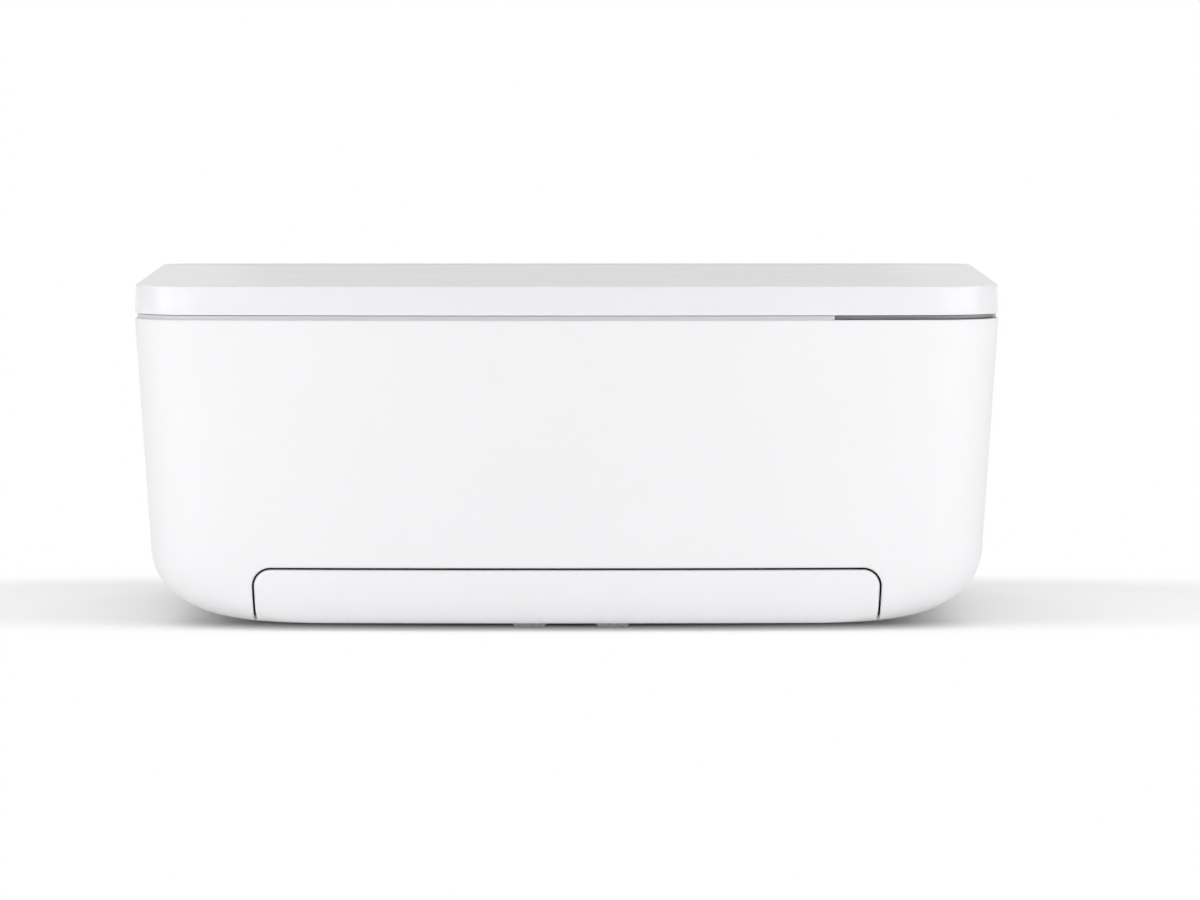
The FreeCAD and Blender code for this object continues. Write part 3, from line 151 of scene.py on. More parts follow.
# moulded plastics: spark-eroded grain, slow tone drift, a little gloss change
plasticLook = {
    "grain": 0.0005, "grainDetail": 3.0, "depth": 0.00004, "relief": 0.35, "drift": 0.01, "driftSize": 0.06,
    "grainGloss": 0.24, "driftGloss": 0.12, "coat": 0.0, "coatRough": 0.1,
}
plasticFinishes = {
    "casing_white": {"colour": (0.80, 0.80, 0.812), "rough": 0.5, "depth": 0.00003, "drift": 0.008},
    "lid_white": {"colour": (0.77, 0.77, 0.785), "rough": 0.16, "grain": 0.02, "depth": 0.00002,
                  "drift": 0.006, "coat": 0.2},
    "bezel_white": {"colour": (0.60, 0.60, 0.612), "rough": 0.38, "grain": 0.0004, "depth": 0.00002,
                    "drift": 0.008},
    # grip_grey: mid grey insert in the lift notch under the lid's right front edge, darker than the casing so
    # that slot reads dark; partly painted shade, and the rest of the darkening is real occlusion under the
    # lid
    "grip_grey": {"colour": (0.42, 0.42, 0.43), "rough": 0.45, "drift": 0.006},
    "engine_grey": {"colour": (0.30, 0.305, 0.315), "rough": 0.48, "grain": 0.0006, "depth": 0.00005,
                    "drift": 0.012},
    "inner_black": {"colour": (0.032, 0.033, 0.036), "rough": 0.46, "grain": 0.0006, "depth": 0.00005,
                    "drift": 0.006},
    "gear_white": {"colour": (0.74, 0.735, 0.70), "rough": 0.33, "grain": 0.0009, "depth": 0.00002,
                   "drift": 0.012},
    "latch_light": {"colour": (0.46, 0.50, 0.55), "rough": 0.42},
    "guide_grey": {"colour": (0.20, 0.205, 0.215), "rough": 0.45},
    "lamp_white": {"colour": (0.16, 0.16, 0.17), "rough": 0.5, "grain": 0.0006},
    "ink_black": {"colour": (0.022, 0.022, 0.024), "rough": 0.36, "grain": 0.0007, "drift": 0.004},
    "ink_color": {"colour": (0.05, 0.052, 0.06), "rough": 0.36, "grain": 0.0007, "drift": 0.006},
}


def mouldedPlastic(name, look):
    look = {**plasticLook, **look}
    finish = Finish(name)
    grain = finish.noise(look["grain"], look["grainDetail"])
    drift = finish.noise(look["driftSize"])
    darker, lighter = [rgb(look["colour"], shift) for shift in (-look["drift"], look["drift"])]
    rough = look["rough"]
    return finish.surface({
        "Base Color": finish.blend(drift, darker, lighter),
        "Roughness": rough + finish.swing(grain, look["grainGloss"] * rough)
        + finish.swing(drift, look["driftGloss"] * rough),
        "Normal": finish.bump(grain, look["relief"], look["depth"]),
        "Coat Weight": look["coat"], "Coat Roughness": look["coatRough"]})


# rubbers: fine pores, chalky patches
rubberLook = {"patch": 0.008, "patchDetail": 4.0, "patchShare": 0.7, "rough": 0.68, "patchGloss": 0.2,
              "relief": 0.4, "depth": 0.00006}
rubberFinishes = {
    "foot_rubber": {"colour": (0.035, 0.035, 0.037), "worn": (0.075, 0.075, 0.077), "pore": 0.0007},
    "roller_rubber": {"colour": (0.055, 0.056, 0.06), "worn": (0.12, 0.12, 0.125), "pore": 0.0005},
}


def softRubber(name, look):
    look = {**rubberLook, **look}
    finish = Finish(name)
    pores = finish.cells(look["pore"])
    patches = finish.noise(look["patch"], look["patchDetail"])
    return finish.surface({
        "Base Color": finish.blend(patches * look["patchShare"], rgb(look["colour"]), rgb(look["worn"])),
        "Roughness": look["rough"] + patches * look["patchGloss"],
        "Normal": finish.bump(pores, look["relief"], look["depth"])})


# metals: drawn grain along one axis
metalLook = {"line": 0.012, "lineDetail": 4.0, "lineGloss": 0.12, "stainSize": 0.03, "stainDetail": 3.0,
             "stainShare": 0.6, "relief": 0.08, "depth": 0.00003}
metalFinishes = {
    "steel": {"colour": (0.60, 0.61, 0.63), "stain": (0.46, 0.47, 0.49), "rough": 0.32, "draw": (1, 30, 30)},
    "motor_can": {"colour": (0.50, 0.50, 0.49), "stain": (0.36, 0.36, 0.36), "rough": 0.34,
                  "draw": (20, 1, 20)},
    "screw_zinc": {"colour": (0.42, 0.43, 0.45), "stain": (0.28, 0.28, 0.30), "rough": 0.3,
                   "draw": (1, 1, 1)},
}


def drawnMetal(name, look):
    look = {**metalLook, **look}
    finish = Finish(name)
    lines = finish.noise(look["line"], look["lineDetail"], look["draw"])
    stain = finish.noise(look["stainSize"], look["stainDetail"])
    return finish.surface({
        "Base Color": finish.blend(stain * look["stainShare"], rgb(look["colour"]), rgb(look["stain"])),
        "Metallic": 1.0, "Roughness": look["rough"] + finish.swing(lines, look["lineGloss"]),
        "Normal": finish.bump(lines, look["relief"], look["depth"])})


# clouded pieces: the scanner's glass, the lenses under the drawer, the foam under the lid
cloudFinishes = {
    "glass": {"colours": ((0.90, 0.96, 0.94), (0.96, 0.985, 0.975)), "cloud": 0.05, "detail": 3.0,
              "rough": 0.02, "cloudGloss": 0.03, "clear": 0.95, "index": 1.5},
    "lens_grey": {"colours": ((0.58, 0.59, 0.61), (0.72, 0.73, 0.75)), "cloud": 0.004, "detail": 2.0,
                  "rough": 0.22, "cloudGloss": 0.1, "clear": 0.35, "index": 1.49},
    "pad_white": {"colours": ((0.74, 0.74, 0.735), (0.82, 0.82, 0.815)), "cloud": 0.02, "detail": 3.0,
                  "rough": 0.82, "cloudGloss": 0.1, "pore": 0.0011, "relief": 0.5, "depth": 0.00012},
}


def clouded(name, look):
    finish = Finish(name)
    cloud = finish.noise(look["cloud"], look["detail"])
    sockets = {"Base Color": finish.blend(cloud, *map(rgb, look["colours"])),
               "Roughness": look["rough"] + cloud * look["cloudGloss"]}
    if "pore" in look:
        sockets["Normal"] = finish.bump(finish.cells(look["pore"]), look["relief"], look["depth"])
    if "clear" in look:
        sockets.update({"Transmission Weight": look["clear"], "IOR": look["index"]})
    return finish.surface(sockets)


boardFinishes = {
    "board_green": {"colours": ((0.012, 0.11, 0.05), (0.018, 0.14, 0.065)), "track": (0.035, 0.22, 0.10),
                    "trackScale": 90.0, "trackWidth": 0.045, "offset": 0.37, "squash": 0.7, "cloud": 0.01,
                    "detail": 3.0, "rough": 0.3, "cloudGloss": 0.1, "relief": 0.3, "depth": 0.00005},
}


def boardLacquer(name, look):
    finish = Finish(name)
    black, white = rgb((0, 0, 0)), rgb((1, 1, 1))
    tracks = finish.node("ShaderNodeTexBrick", {"offset": look["offset"], "squash": look["squash"]}, {
        "Vector": finish.place({"Rotation": (quarter, 0, 0)}), "Scale": look["trackScale"],
        "Mortar Size": look["trackWidth"], "Color1": black, "Color2": black, "Mortar": white})
    cloud = finish.noise(look["cloud"], look["detail"])
    ground = finish.blend(cloud, *map(rgb, look["colours"]))
    return finish.surface({
        "Base Color": finish.blend(tracks, ground, rgb(look["track"])),
        "Roughness": look["rough"] + cloud * look["cloudGloss"],
        "Normal": finish.bump(tracks, look["relief"], look["depth"])})


finishes = {}
for make, looks in ((mouldedPlastic, plasticFinishes), (softRubber, rubberFinishes),
                    (drawnMetal, metalFinishes), (clouded, cloudFinishes), (boardLacquer, boardFinishes)):
    finishes.update({name: make(name, look) for name, look in looks.items()})

for name, part in nodes.items():
    part.data.materials.clear()
    part.data.materials.append(finishes[slotOf[name]])
print("finishes made:", len(finishes))


# mesh helpers, sizes in millimetres and smoothing in degrees
def newPiece(name, mesh, finish, smooth=35):
    mesh.name = name
    mesh.transform(Matrix.Scale(1 / perMetre, 4))
    return dressPiece(name, mesh, finish, smooth)


def grownPiece(name, mesh, smooth=40):
    # a tree has set the finish
    return newPiece(name, mesh, None, smooth)


def dressPiece(name, mesh, finish, smooth):
    if finish:
        mesh.materials.clear()
        mesh.materials.append(finishes[finish])
    mesh.polygons.foreach_set("use_smooth", [True] * len(mesh.polygons))
    mesh.set_sharp_from_angle(angle=math.radians(smooth))
    return placed(name, mesh)


def placed(name, data):
    made = bpy.data.objects.new(name, data)
    scene.collection.objects.link(made)
    return made


def shares(count, first=1):
    # equal steps up to 1
    return [i / count for i in range(first, count + 1)]


def capital(name):
    return name.title().replace("_", "")


def nodeBox(node):
    # low and high corner of a CAD node
    return [[part * perMetre for part in corner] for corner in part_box(node)]


def loft(rings):
    # closed ends, quads between rings of equal count; rings run anticlockwise from above, from the top down
    mesh = bpy.data.meshes.new("loft")
    count, last = len(rings[0]), len(rings) - 1
    faces = []
    for row in range(last):
        upper, lower = row * count, (row + 1) * count
        for i in range(count):
            j = (i + 1) % count
            faces.append((upper + i, lower + i, lower + j, upper + j))
    faces.append(tuple(range(count)))
    faces.append(tuple(range(len(rings) * count - 1, last * count - 1, -1)))
    mesh.from_pydata([point for ring in rings for point in ring], [], faces)
    mesh.update()
    return mesh


def edited(change, mesh=None):
    # runs a change on a mesh, or on a new one
    mesh = mesh or bpy.data.meshes.new("made")
    made = bmesh.new()
    made.from_mesh(mesh)
    change(made)
    made.to_mesh(mesh)
    made.free()
    return mesh


def facedOut(mesh):
    # all faces of a closed mesh point outwards
    return edited(lambda made: bmesh.ops.recalc_face_normals(made, faces=made.faces), mesh)


def cleaned(mesh, near):
    # merges points that coincide and drops faces without area
    def change(made):
        bmesh.ops.remove_doubles(made, verts=made.verts, dist=near)
        bmesh.ops.dissolve_degenerate(made, edges=made.edges, dist=near)

    return edited(change, mesh)


def gathered(meshes):
    def change(made):
        for mesh in meshes:
            made.from_mesh(mesh)

    return edited(change)


def boxMesh(low, high):
    def change(made):
        bmesh.ops.create_cube(made, size=1.0)
        bmesh.ops.scale(made, vec=[high[i] - low[i] for i in range(3)], verts=made.verts)
        bmesh.ops.translate(made, vec=[(high[i] + low[i]) / 2 for i in range(3)], verts=made.verts)

    return edited(change)


def aimed(way, axis="Z"):
    # turns an axis to a direction
    return Vector(way).to_track_quat(axis, "Y").to_matrix().to_4x4()


def barMesh(radius, start, end, steps=40):
    start, end = Vector(start), Vector(end)
    along = end - start
    spot = Matrix.Translation((start + end) / 2) @ aimed(along)
    return edited(lambda made: bmesh.ops.create_cone(
        made, cap_ends=True, segments=steps, radius1=radius, radius2=radius, depth=along.length, matrix=spot))


def turned(profile, at, axis, steps=28):
    # rings about an axis; the profile runs from the low end to the top as (radius, height)
    spin = aimed(axis)
    rings = []
    for radius, height in profile[::-1]:
        ring = []
        for i in range(steps):
            angle = 2 * math.pi * i / steps
            point = Vector((radius * math.cos(angle), radius * math.sin(angle), height))
            ring.append(tuple(Vector(at) + spin @ point))
        rings.append(ring)
    return loft(rings)


def evaluated(work, *helpers):
    # mesh of a working object after its modifiers; the object and its helpers are removed
    for part in (work, *helpers):
        scene.collection.objects.link(part)
    graph = bpy.context.evaluated_depsgraph_get()
    graph.update()
    mesh = bpy.data.meshes.new_from_object(work.evaluated_get(graph), depsgraph=graph)
    for part in (work, *helpers):
        bpy.data.objects.remove(part)
    return mesh


def carved(mesh, tool, operation="DIFFERENCE"):
    # boolean of two closed meshes
    work = bpy.data.objects.new("work", mesh)
    blade = bpy.data.objects.new("blade", tool)
    step = work.modifiers.new("carve", "BOOLEAN")
    step.object, step.operation, step.solver = blade, operation, "EXACT"
    return evaluated(work, blade)


def show(piece, body, slot, *replaced):
    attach(piece, body)
    if replaced:
        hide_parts(*replaced)
    print("piece made:", piece.name, len(piece.data.polygons), "faces")


# body shell: one outline drawn in by draft, rounding and wall
casingLook = {
    "halfWidth": 216.0, "front": -180.5, "rear": 178.5, "frontCorner": 35.0, "rearCorner": 18.0,
    "bow": 2340.0, "draft": 0.0654, "low": 4.0, "rim": 156.1, "wall": 2.5, "wallRows": 12, "rimEdge": 1.0,
    "rimSteps": 4, "roundHeight": 36.0, "roundSide": 55.0, "roundFront": 12.0, "roundRear": 20.0,
    "roundPower": 2.2, "roundRows": 34, "roundEase": 0.5, "frontLow": 1.4, "smooth": 32,
    "columns": {"bow": 36, "corner": 18, "side": 22, "rearCorner": 10, "rear": 22},
}


def halfOutline(half, front, rear, frontR, rearR, bow, columns):
    cornerX = half - frontR
    cornerY = front + bow - math.sqrt((bow - frontR) ** 2 - cornerX ** 2)
    lean = math.atan2(cornerX, front + bow - cornerY)
    points = []
    for share in shares(columns["bow"], 0):
        angle = lean * share
        points.append((bow * math.sin(angle), front + bow - bow * math.cos(angle)))
    for share in shares(columns["corner"]):
        angle = (lean - quarter) * (1 - share)
        points.append((cornerX + frontR * math.cos(angle), cornerY + frontR * math.sin(angle)))
    sideEnd = rear - rearR
    for share in shares(columns["side"]):
        points.append((half, cornerY + (sideEnd - cornerY) * share))
    for share in shares(columns["rearCorner"]):
        angle = quarter * share
        points.append((half - rearR + rearR * math.cos(angle), sideEnd + rearR * math.sin(angle)))
    for share in shares(columns["rear"]):
        points.append(((half - rearR) * (1 - share), rear))
    return points


def casingRing(z, inset, turn=0.0, leaning=True):
    look = casingLook
    lean = look["draft"] * (look["rim"] - z) if leaning else 0.0
    half = halfOutline(
        look["halfWidth"] - inset - lean - (look["roundSide"] - inset) * turn,
        look["front"] + inset + lean + (look["roundFront"] - inset) * turn,
        look["rear"] - inset - (look["roundRear"] - inset) * turn,
        look["frontCorner"] - inset, look["rearCorner"] - inset, look["bow"] - inset, look["columns"])
    ring = half + [(-x, y) for x, y in half[-2:0:-1]]
    return [(x, y, z) for x, y in ring]


def casingRows(inset, top):
    # rings from a height down to the flat underside, closer together at both ends of the rounding
    look = casingLook
    roundTop, power, ease = look["low"] + look["roundHeight"], 2 / look["roundPower"], look["roundEase"]
    rings = [casingRing(top + (roundTop - top) * share, inset) for share in shares(look["wallRows"], 0)[:-1]]
    for share in shares(look["roundRows"], 0):
        angle = quarter * ((1 - ease) * share + ease * (1 - math.cos(math.pi * share)) / 2)
        z = roundTop - (look["roundHeight"] - inset) * math.sin(angle) ** power
        turn = 1 - max(0.0, math.cos(angle)) ** power
        rings.append(casingRing(z, inset, turn))
    return rings


def casingSkin(wall, top, edge):
    # closed shell: up the inside, over the rounded rim and down the outside
    rim = []
    for share in shares(casingLook["rimSteps"], 0)[:-1]:
        angle = quarter * (1 - share)
        rim.append(casingRing(top - edge + edge * math.sin(angle), edge - edge * math.cos(angle)))
    return loft(casingRows(wall, top)[::-1] + rim + casingRows(0.0, top - edge))


def casingFrontY(x, z):
    # where the outer skin lies at a place of the front view
    look = casingLook
    bow, corner, power = look["bow"], look["frontCorner"], look["roundPower"]
    roundTop = look["low"] + look["roundHeight"]
    z = max(z, look["low"] + look["frontLow"])
    turn = 0.0
    if z < roundTop:
        drop = ((roundTop - z) / look["roundHeight"]) ** power
        turn = 1 - max(0.0, 1 - drop) ** (1 / power)
    lean = look["draft"] * (look["rim"] - z)
    half = look["halfWidth"] - lean - look["roundSide"] * turn
    front = look["front"] + lean + look["roundFront"] * turn
    cornerX = half - corner
    cornerY = front + bow - math.sqrt((bow - corner) ** 2 - cornerX ** 2)
    aside = min(abs(x), half)
    if aside <= cornerX * bow / (bow - corner):
        return front + bow - math.sqrt(bow ** 2 - aside ** 2)
    return cornerY - math.sqrt(max(0.0, corner ** 2 - (aside - cornerX) ** 2))


# drawer panel in the lower front, and the opening it closes
drawerLook = {
    "half": 156.0, "taper": 1.0, "top": 31.4, "low": 1.5, "corner": 8.5, "back": -150.5, "wall": 3.0,
    "seam": 0.95, "panelEdge": 2.2, "openingEdge": 1.3, "edgeSteps": 6, "startAngle": 14.0,
    "cornerSteps": 12, "topSteps": 40, "sideSteps": 20, "backRoom": 4.0, "frontRoom": 12.0, "proud": 1.0,
    "footDraw": 2.0, "footRise": 11.0, "skinTop": 60.0, "skinEdge": 0.01,
}


def drawerOutline(spread, footDraw):
    # half of the outline and its mirror; the panel draws in at its lower corners
    look = drawerLook
    half, top, radius = look["half"] + spread, look["top"] + spread, look["corner"] + spread
    right = [((half - radius) * share, top) for share in shares(look["topSteps"], 0)]
    for share in shares(look["cornerSteps"]):
        angle = quarter * (1 - share)
        right.append((half - radius + radius * math.cos(angle), top - radius + radius * math.sin(angle)))
    for share in shares(look["sideSteps"]):
        z = top - radius + (look["low"] - top + radius) * share
        draw = footDraw * max(0.0, 1 - (z - look["low"]) / look["footRise"]) ** 2
        right.append((half - look["taper"] * share - draw, z))
    return right + [(-x, z) for x, z in right[:0:-1]]


def drawerPrism(spread, edge, back, footDraw=0.0):
    # its front end follows the skin with a rounded edge; a negative edge rounds inwards
    look = drawerLook
    rings = []

    def follow(x, z, sink):
        return x, min(casingFrontY(x, z), back - look["backRoom"]) + sink, z

    for share in shares(look["edgeSteps"], 0):
        angle = math.radians(look["startAngle"] + (90 - look["startAngle"]) * share)
        grow, sink = edge * (1 - math.sin(angle)), abs(edge) * (1 - math.cos(angle))
        outline = drawerOutline(spread + grow, footDraw)
        if not rings:
            rings.append([(x, casingLook["front"] - look["frontRoom"], z) for x, z in outline])
            rings.append([follow(x, z, -look["proud"]) for x, z in outline])
        rings.append([follow(x, z, sink) for x, z in outline])
    rings.append([(x, back, z) for x, z in drawerOutline(spread, footDraw)])
    return facedOut(loft(rings))


# hinges at the rear edge: a pair for the scanner deck and a pair for the lid, at (x, z)
hingeLook = {"y": 178.0, "radius": 2.5, "room": 2.8, "middle": 8.0, "side": 6.0, "gap": 0.3, "steps": 32,
             "deck": (165.0, 147.5), "lid": (130.0, 157.2)}


def knuckleBars(pair, radius, spans):
    (x, z), y, steps = hingeLook[pair], hingeLook["y"], hingeLook["steps"]
    return [barMesh(radius, (middle + a, y, z), (middle + b, y, z), steps)
            for middle in (-x, x) for a, b in spans]


def middleSpan(extra=0.0):
    half = hingeLook["middle"] / 2 + extra
    return [(-half, half)]


def outerSpans(extra=0.0):
    half = hingeLook["middle"] / 2 + hingeLook["gap"]
    end = half + hingeLook["side"]
    return [(-end - extra, -half + extra), (half - extra, end + extra)]


rearLook = {
    "doorHalf": 108.3, "doorLow": 44.9, "doorTop": 104.8, "inlet": (-148.0, 76.0), "inletSize": (24.6, 18.6),
    "usb": (152.0, 62.0), "usbSize": (12.6, 11.6), "buttonX": (122.0, 138.0), "buttonZ": 86.0,
    "buttonHole": 5.3, "rimHalf": 192.0, "rimDepth": 8.5, "rimDrop": 10.6, "lugEnd": 114.8,
    "lugY": (173.5, 176.0), "lugZ": (44.5, 49.5), "cutIn": 3.3, "cutOut": 0.8, "cutOver": 1.0,
}
footLook = {
    "x": 140.0, "front": -60.0, "rear": 140.0, "radius": 9.0, "top": 6.0, "hole": 9.3, "holeZ": (2.0, 16.0),
    "holeSteps": 48, "grooves": 3, "pitch": 0.25, "groove": 0.5, "ridge": 1.2, "middle": 0.4, "edge": 0.7,
    "chamfer": 0.2, "rimRoom": 0.8,
}
footPlaces = [(x, y) for x in (-footLook["x"], footLook["x"]) for y in (footLook["front"], footLook["rear"])]


def casingCutters():
    look = rearLook
    inside, outside = casingLook["rear"] - look["cutIn"], casingLook["rear"] + look["cutOut"]
    rim = casingLook["rim"]

    def window(middle, size):
        (x, z), (width, height) = middle, size
        return boxMesh((x - width / 2, inside, z - height / 2), (x + width / 2, outside, z + height / 2))

    cutters = [
        boxMesh((-look["doorHalf"], inside, look["doorLow"]), (look["doorHalf"], outside, look["doorTop"])),
        boxMesh((-look["rimHalf"], casingLook["rear"] - look["rimDepth"], rim - look["rimDrop"]),
                (look["rimHalf"], outside, rim + look["cutOver"])),
        window(look["inlet"], look["inletSize"]),
        window(look["usb"], look["usbSize"]),
    ]
    for x in look["buttonX"]:
        z = look["buttonZ"]
        cutters.append(barMesh(look["buttonHole"], (x, inside, z), (x, outside, z)))
    low, high = footLook["holeZ"]
    for x, y in footPlaces:
        cutters.append(barMesh(footLook["hole"], (x, y, low), (x, y, high), footLook["holeSteps"]))
    return gathered(cutters)


def hingeWebs():
    # walls that carry the knuckles of the deck's hinges
    outside, wall = casingLook["rear"], casingLook["wall"]
    low = casingLook["rim"] - rearLook["rimDrop"] - wall
    middle, high = hingeLook["deck"]
    return [boxMesh((x + a, outside - wall, low), (x + b, outside, high))
            for x in (-middle, middle) for a, b in outerSpans()]


def makeCasing():
    look = drawerLook
    skin = casingSkin(casingLook["wall"], casingLook["rim"], casingLook["rimEdge"])
    skin = carved(skin, drawerPrism(look["seam"], look["openingEdge"], look["back"] + look["seam"]))
    skin = carved(skin, casingCutters())
    skin = carved(skin, gathered(knuckleBars("deck", hingeLook["room"], middleSpan(hingeLook["gap"]))))
    extras = hingeWebs() + knuckleBars("deck", hingeLook["radius"], outerSpans())
    inner, outer = rearLook["doorHalf"], rearLook["lugEnd"]
    (lowY, highY), (lowZ, highZ) = rearLook["lugY"], rearLook["lugZ"]
    for start, end in ((-outer, -inner), (inner, outer)):
        extras.append(boxMesh((start, lowY, lowZ), (end, highY, highZ)))
    return newPiece("casingShell", gathered([skin] + extras), "casing_white", casingLook["smooth"])


def makeDrawerPanel():
    look = drawerLook
    skin = casingSkin(look["wall"], look["skinTop"], look["skinEdge"])
    prism = drawerPrism(0.0, -look["panelEdge"], look["back"], look["footDraw"])
    panel = carved(skin, prism, "INTERSECT")
    return newPiece("drawerPanel", panel, "casing_white", casingLook["smooth"])


# lid: same outline, slightly tapered, with a soft top edge
lidLook = {"low": 158.4, "top": 173.0, "taper": 0.5, "topEdge": 1.1, "topSteps": 7, "lowEdge": 0.5,
           "lowSteps": 5, "wall": 2.5, "topWall": 2.2, "rows": 6, "near": 0.002}


def makeLid():
    look = lidLook
    rings = []

    def inset(z):
        return look["taper"] * (z - look["low"]) / (look["top"] - look["low"])

    def addRing(z, drawn):
        rings.append(casingRing(z, drawn, leaning=False))

    addRing(look["top"] - look["topWall"], look["wall"])
    addRing(look["low"], look["wall"])
    for share in shares(look["lowSteps"], 0)[:-1]:
        angle = quarter * share
        z = look["low"] + look["lowEdge"] * (1 - math.cos(angle))
        addRing(z, inset(z) + look["lowEdge"] * (1 - math.sin(angle)))
    start, end = look["low"] + look["lowEdge"], look["top"] - look["topEdge"]
    for share in shares(look["rows"], 0):
        z = start + (end - start) * share
        addRing(z, inset(z))
    for share in shares(look["topSteps"]):
        angle = quarter * share
        z = end + look["topEdge"] * math.sin(angle)
        addRing(z, inset(end) + look["topEdge"] * (1 - math.cos(angle)))
    rooms = gathered(knuckleBars("lid", hingeLook["room"], outerSpans(hingeLook["gap"])))
    shell = cleaned(carved(facedOut(loft(rings)), rooms), look["near"])
    knuckles = knuckleBars("lid", hingeLook["radius"], middleSpan())
    return newPiece("lidShell", gathered([shell] + knuckles), "lid_white", casingLook["smooth"])


show(makeCasing(), "base", "casing_white", "outer_casing")
show(makeDrawerPanel(), "paper_tray", "casing_white", "tray_front")
show(makeLid(), "lid", "lid_white", "lid_shell")


# CAD nodes whose shape is right: same solid with softened edges, in millimetres of rounding
softEdges = {
    "scanner_bezel": 0.35, "lid_liner": 0.5, "lid_grip_insert": 0.4, "scanner_tub": 0.3, "scan_bar": 0.6,
    "inner_deck": 0.9, "engine_frame": 0.25, "power_supply": 1.2, "rear_door": 0.6, "ac_inlet": 0.5,
    "platen": 0.3, "paper_turn_guide": 0.5, "pick_arm": 0.4, "carriage_body": 0.6, "black_cartridge": 1.0,
    "color_cartridge": 1.0, "black_latch": 0.5, "color_latch": 0.5, "service_station_base": 0.6,
    "service_sled": 0.5, "printhead_caps": 0.4, "tray_tub": 0.5, "output_deck": 0.6,
    "left_width_guide": 0.4, "right_width_guide": 0.4, "length_guide": 0.6, "feed_motor": 0.6,
    "carriage_motor": 0.6, "scan_motor": 0.5, "scanner_glass": 0.3, "logic_board": 0.2, "usb_port": 0.2,
}
# merging distances in metres, angles in degrees
softLook = {"merge": 1e-6, "flat": 1, "sharp": 40, "segments": 2, "near": 5e-7, "smooth": 24}


def softened(name, width):
    look = softLook

    def change(made):
        made.from_mesh(nodes[name].data)
        bmesh.ops.remove_doubles(made, verts=made.verts, dist=look["merge"])
        flat = math.radians(look["flat"])
        bmesh.ops.dissolve_limit(made, angle_limit=flat, verts=made.verts, edges=made.edges)

    work = bpy.data.objects.new("work", edited(change))
    step = work.modifiers.new("edges", "BEVEL")
    step.width, step.segments = width / perMetre, look["segments"]
    step.limit_method, step.angle_limit = "ANGLE", math.radians(look["sharp"])
    soft = cleaned(evaluated(work), look["near"])
    return dressPiece("soft" + capital(name), soft, slotOf[name], look["smooth"])


for name, width in softEdges.items():
    show(softened(name, width), bodyOf[name], slotOf[name], name)


def makeFeet():
    # turned feet with grooves in the tread
    look = footLook
    radius, groove, ridge, edge, chamfer, top = [
        look[key] for key in ("radius", "groove", "ridge", "edge", "chamfer", "top")]
    profile = [(look["middle"], groove)]
    for i in range(look["grooves"]):
        start = radius * look["pitch"] * (i + 1)
        end = start + ridge
        profile += [(start - groove, groove), (start, 0.0), (end, 0.0), (end + groove, groove)]
    profile = [point for point in profile if point[0] < radius - look["rimRoom"]]
    profile += [(radius - edge, 0.0), (radius - chamfer, chamfer), (radius, edge)]
    profile += [(radius, top - chamfer), (radius - chamfer, top)]
    feet = [turned(profile, (x, y, 0), (0, 0, 1)) for x, y in footPlaces]
    return newPiece("rubberFeet", gathered(feet), "foot_rubber")


buttonLook = {"core": 1.8, "flange": 6.3, "flangeSpan": (0.3, 0.45), "stem": 5.0, "edge": 0.5, "edgeSteps": 4,
              "dish": 0.35, "dishSteps": 6, "steps": 32}


def makeButton(node, name):
    # cap with a flange inside the wall and a dished outer face
    look = buttonLook
    low, high = nodeBox(node)
    top = high[1] - low[1]
    under, over = [top * share for share in look["flangeSpan"]]
    core, flange, stem, edge = look["core"], look["flange"], look["stem"], look["edge"]
    profile = [(core, 0.0), (core, under), (flange, under), (flange, over), (stem, over), (stem, top - edge)]
    for share in shares(look["edgeSteps"]):
        angle = quarter * share
        profile.append((stem - edge * (1 - math.cos(angle)), top - edge * (1 - math.sin(angle))))
    for share in shares(look["dishSteps"])[-2::-1]:
        profile.append((share * (stem - edge), top - look["dish"] * (1 - share * share)))
    at = ((low[0] + high[0]) / 2, low[1], (low[2] + high[2]) / 2)
    return newPiece(name, turned(profile, at, (0, 1, 0), look["steps"]), slotOf[node])


# rows are heights with the share of the spread from the narrow foot to the wide top
lensLook = {
    "places": (-18.7, 23.0), "top": 19.0, "low": 14.0, "front": -142.3, "rear": -132.3, "edge": 0.5,
    "rows": ((4.0, 1.0), (3.0, 0.68), (1.4, 0.16), (1.05, 0.03), (0.9, -0.05)), "drawFrom": 0.2,
    "ribs": 5, "ribPoints": 4, "ribDepth": 0.12, "smooth": 50,
}


def makeLenses():
    # tapered bars with a rounded lower edge and fine light ribs on the front
    look = lensLook
    points = look["ribs"] * look["ribPoints"]
    meshes = []
    for x in look["places"]:
        rings = []
        for z, grow in look["rows"]:
            half = look["low"] / 2 + (look["top"] - look["low"]) / 2 * grow
            draw = look["edge"] * max(0.0, look["drawFrom"] - grow)
            ring = []
            for i in range(points + 1):
                wave = look["ribDepth"] * (1 - math.cos(2 * math.pi * i / look["ribPoints"]))
                ring.append((x - half + 2 * half * i / points, look["front"] + draw + wave, z))
            rings.append(ring + [(x + half, look["rear"] - draw, z), (x - half, look["rear"] - draw, z)])
        meshes.append(loft(rings))
    return newPiece("lightLenses", gathered(meshes), "lens_grey", look["smooth"])


padLook = {"edge": 1.6, "crown": 0.35, "columns": 44, "rows": 32, "sides": 4, "pull": 0.5, "flat": 0.5,
           "shares": (0.97, 0.9, 0.75, 0.5, 0.2), "smooth": 60}


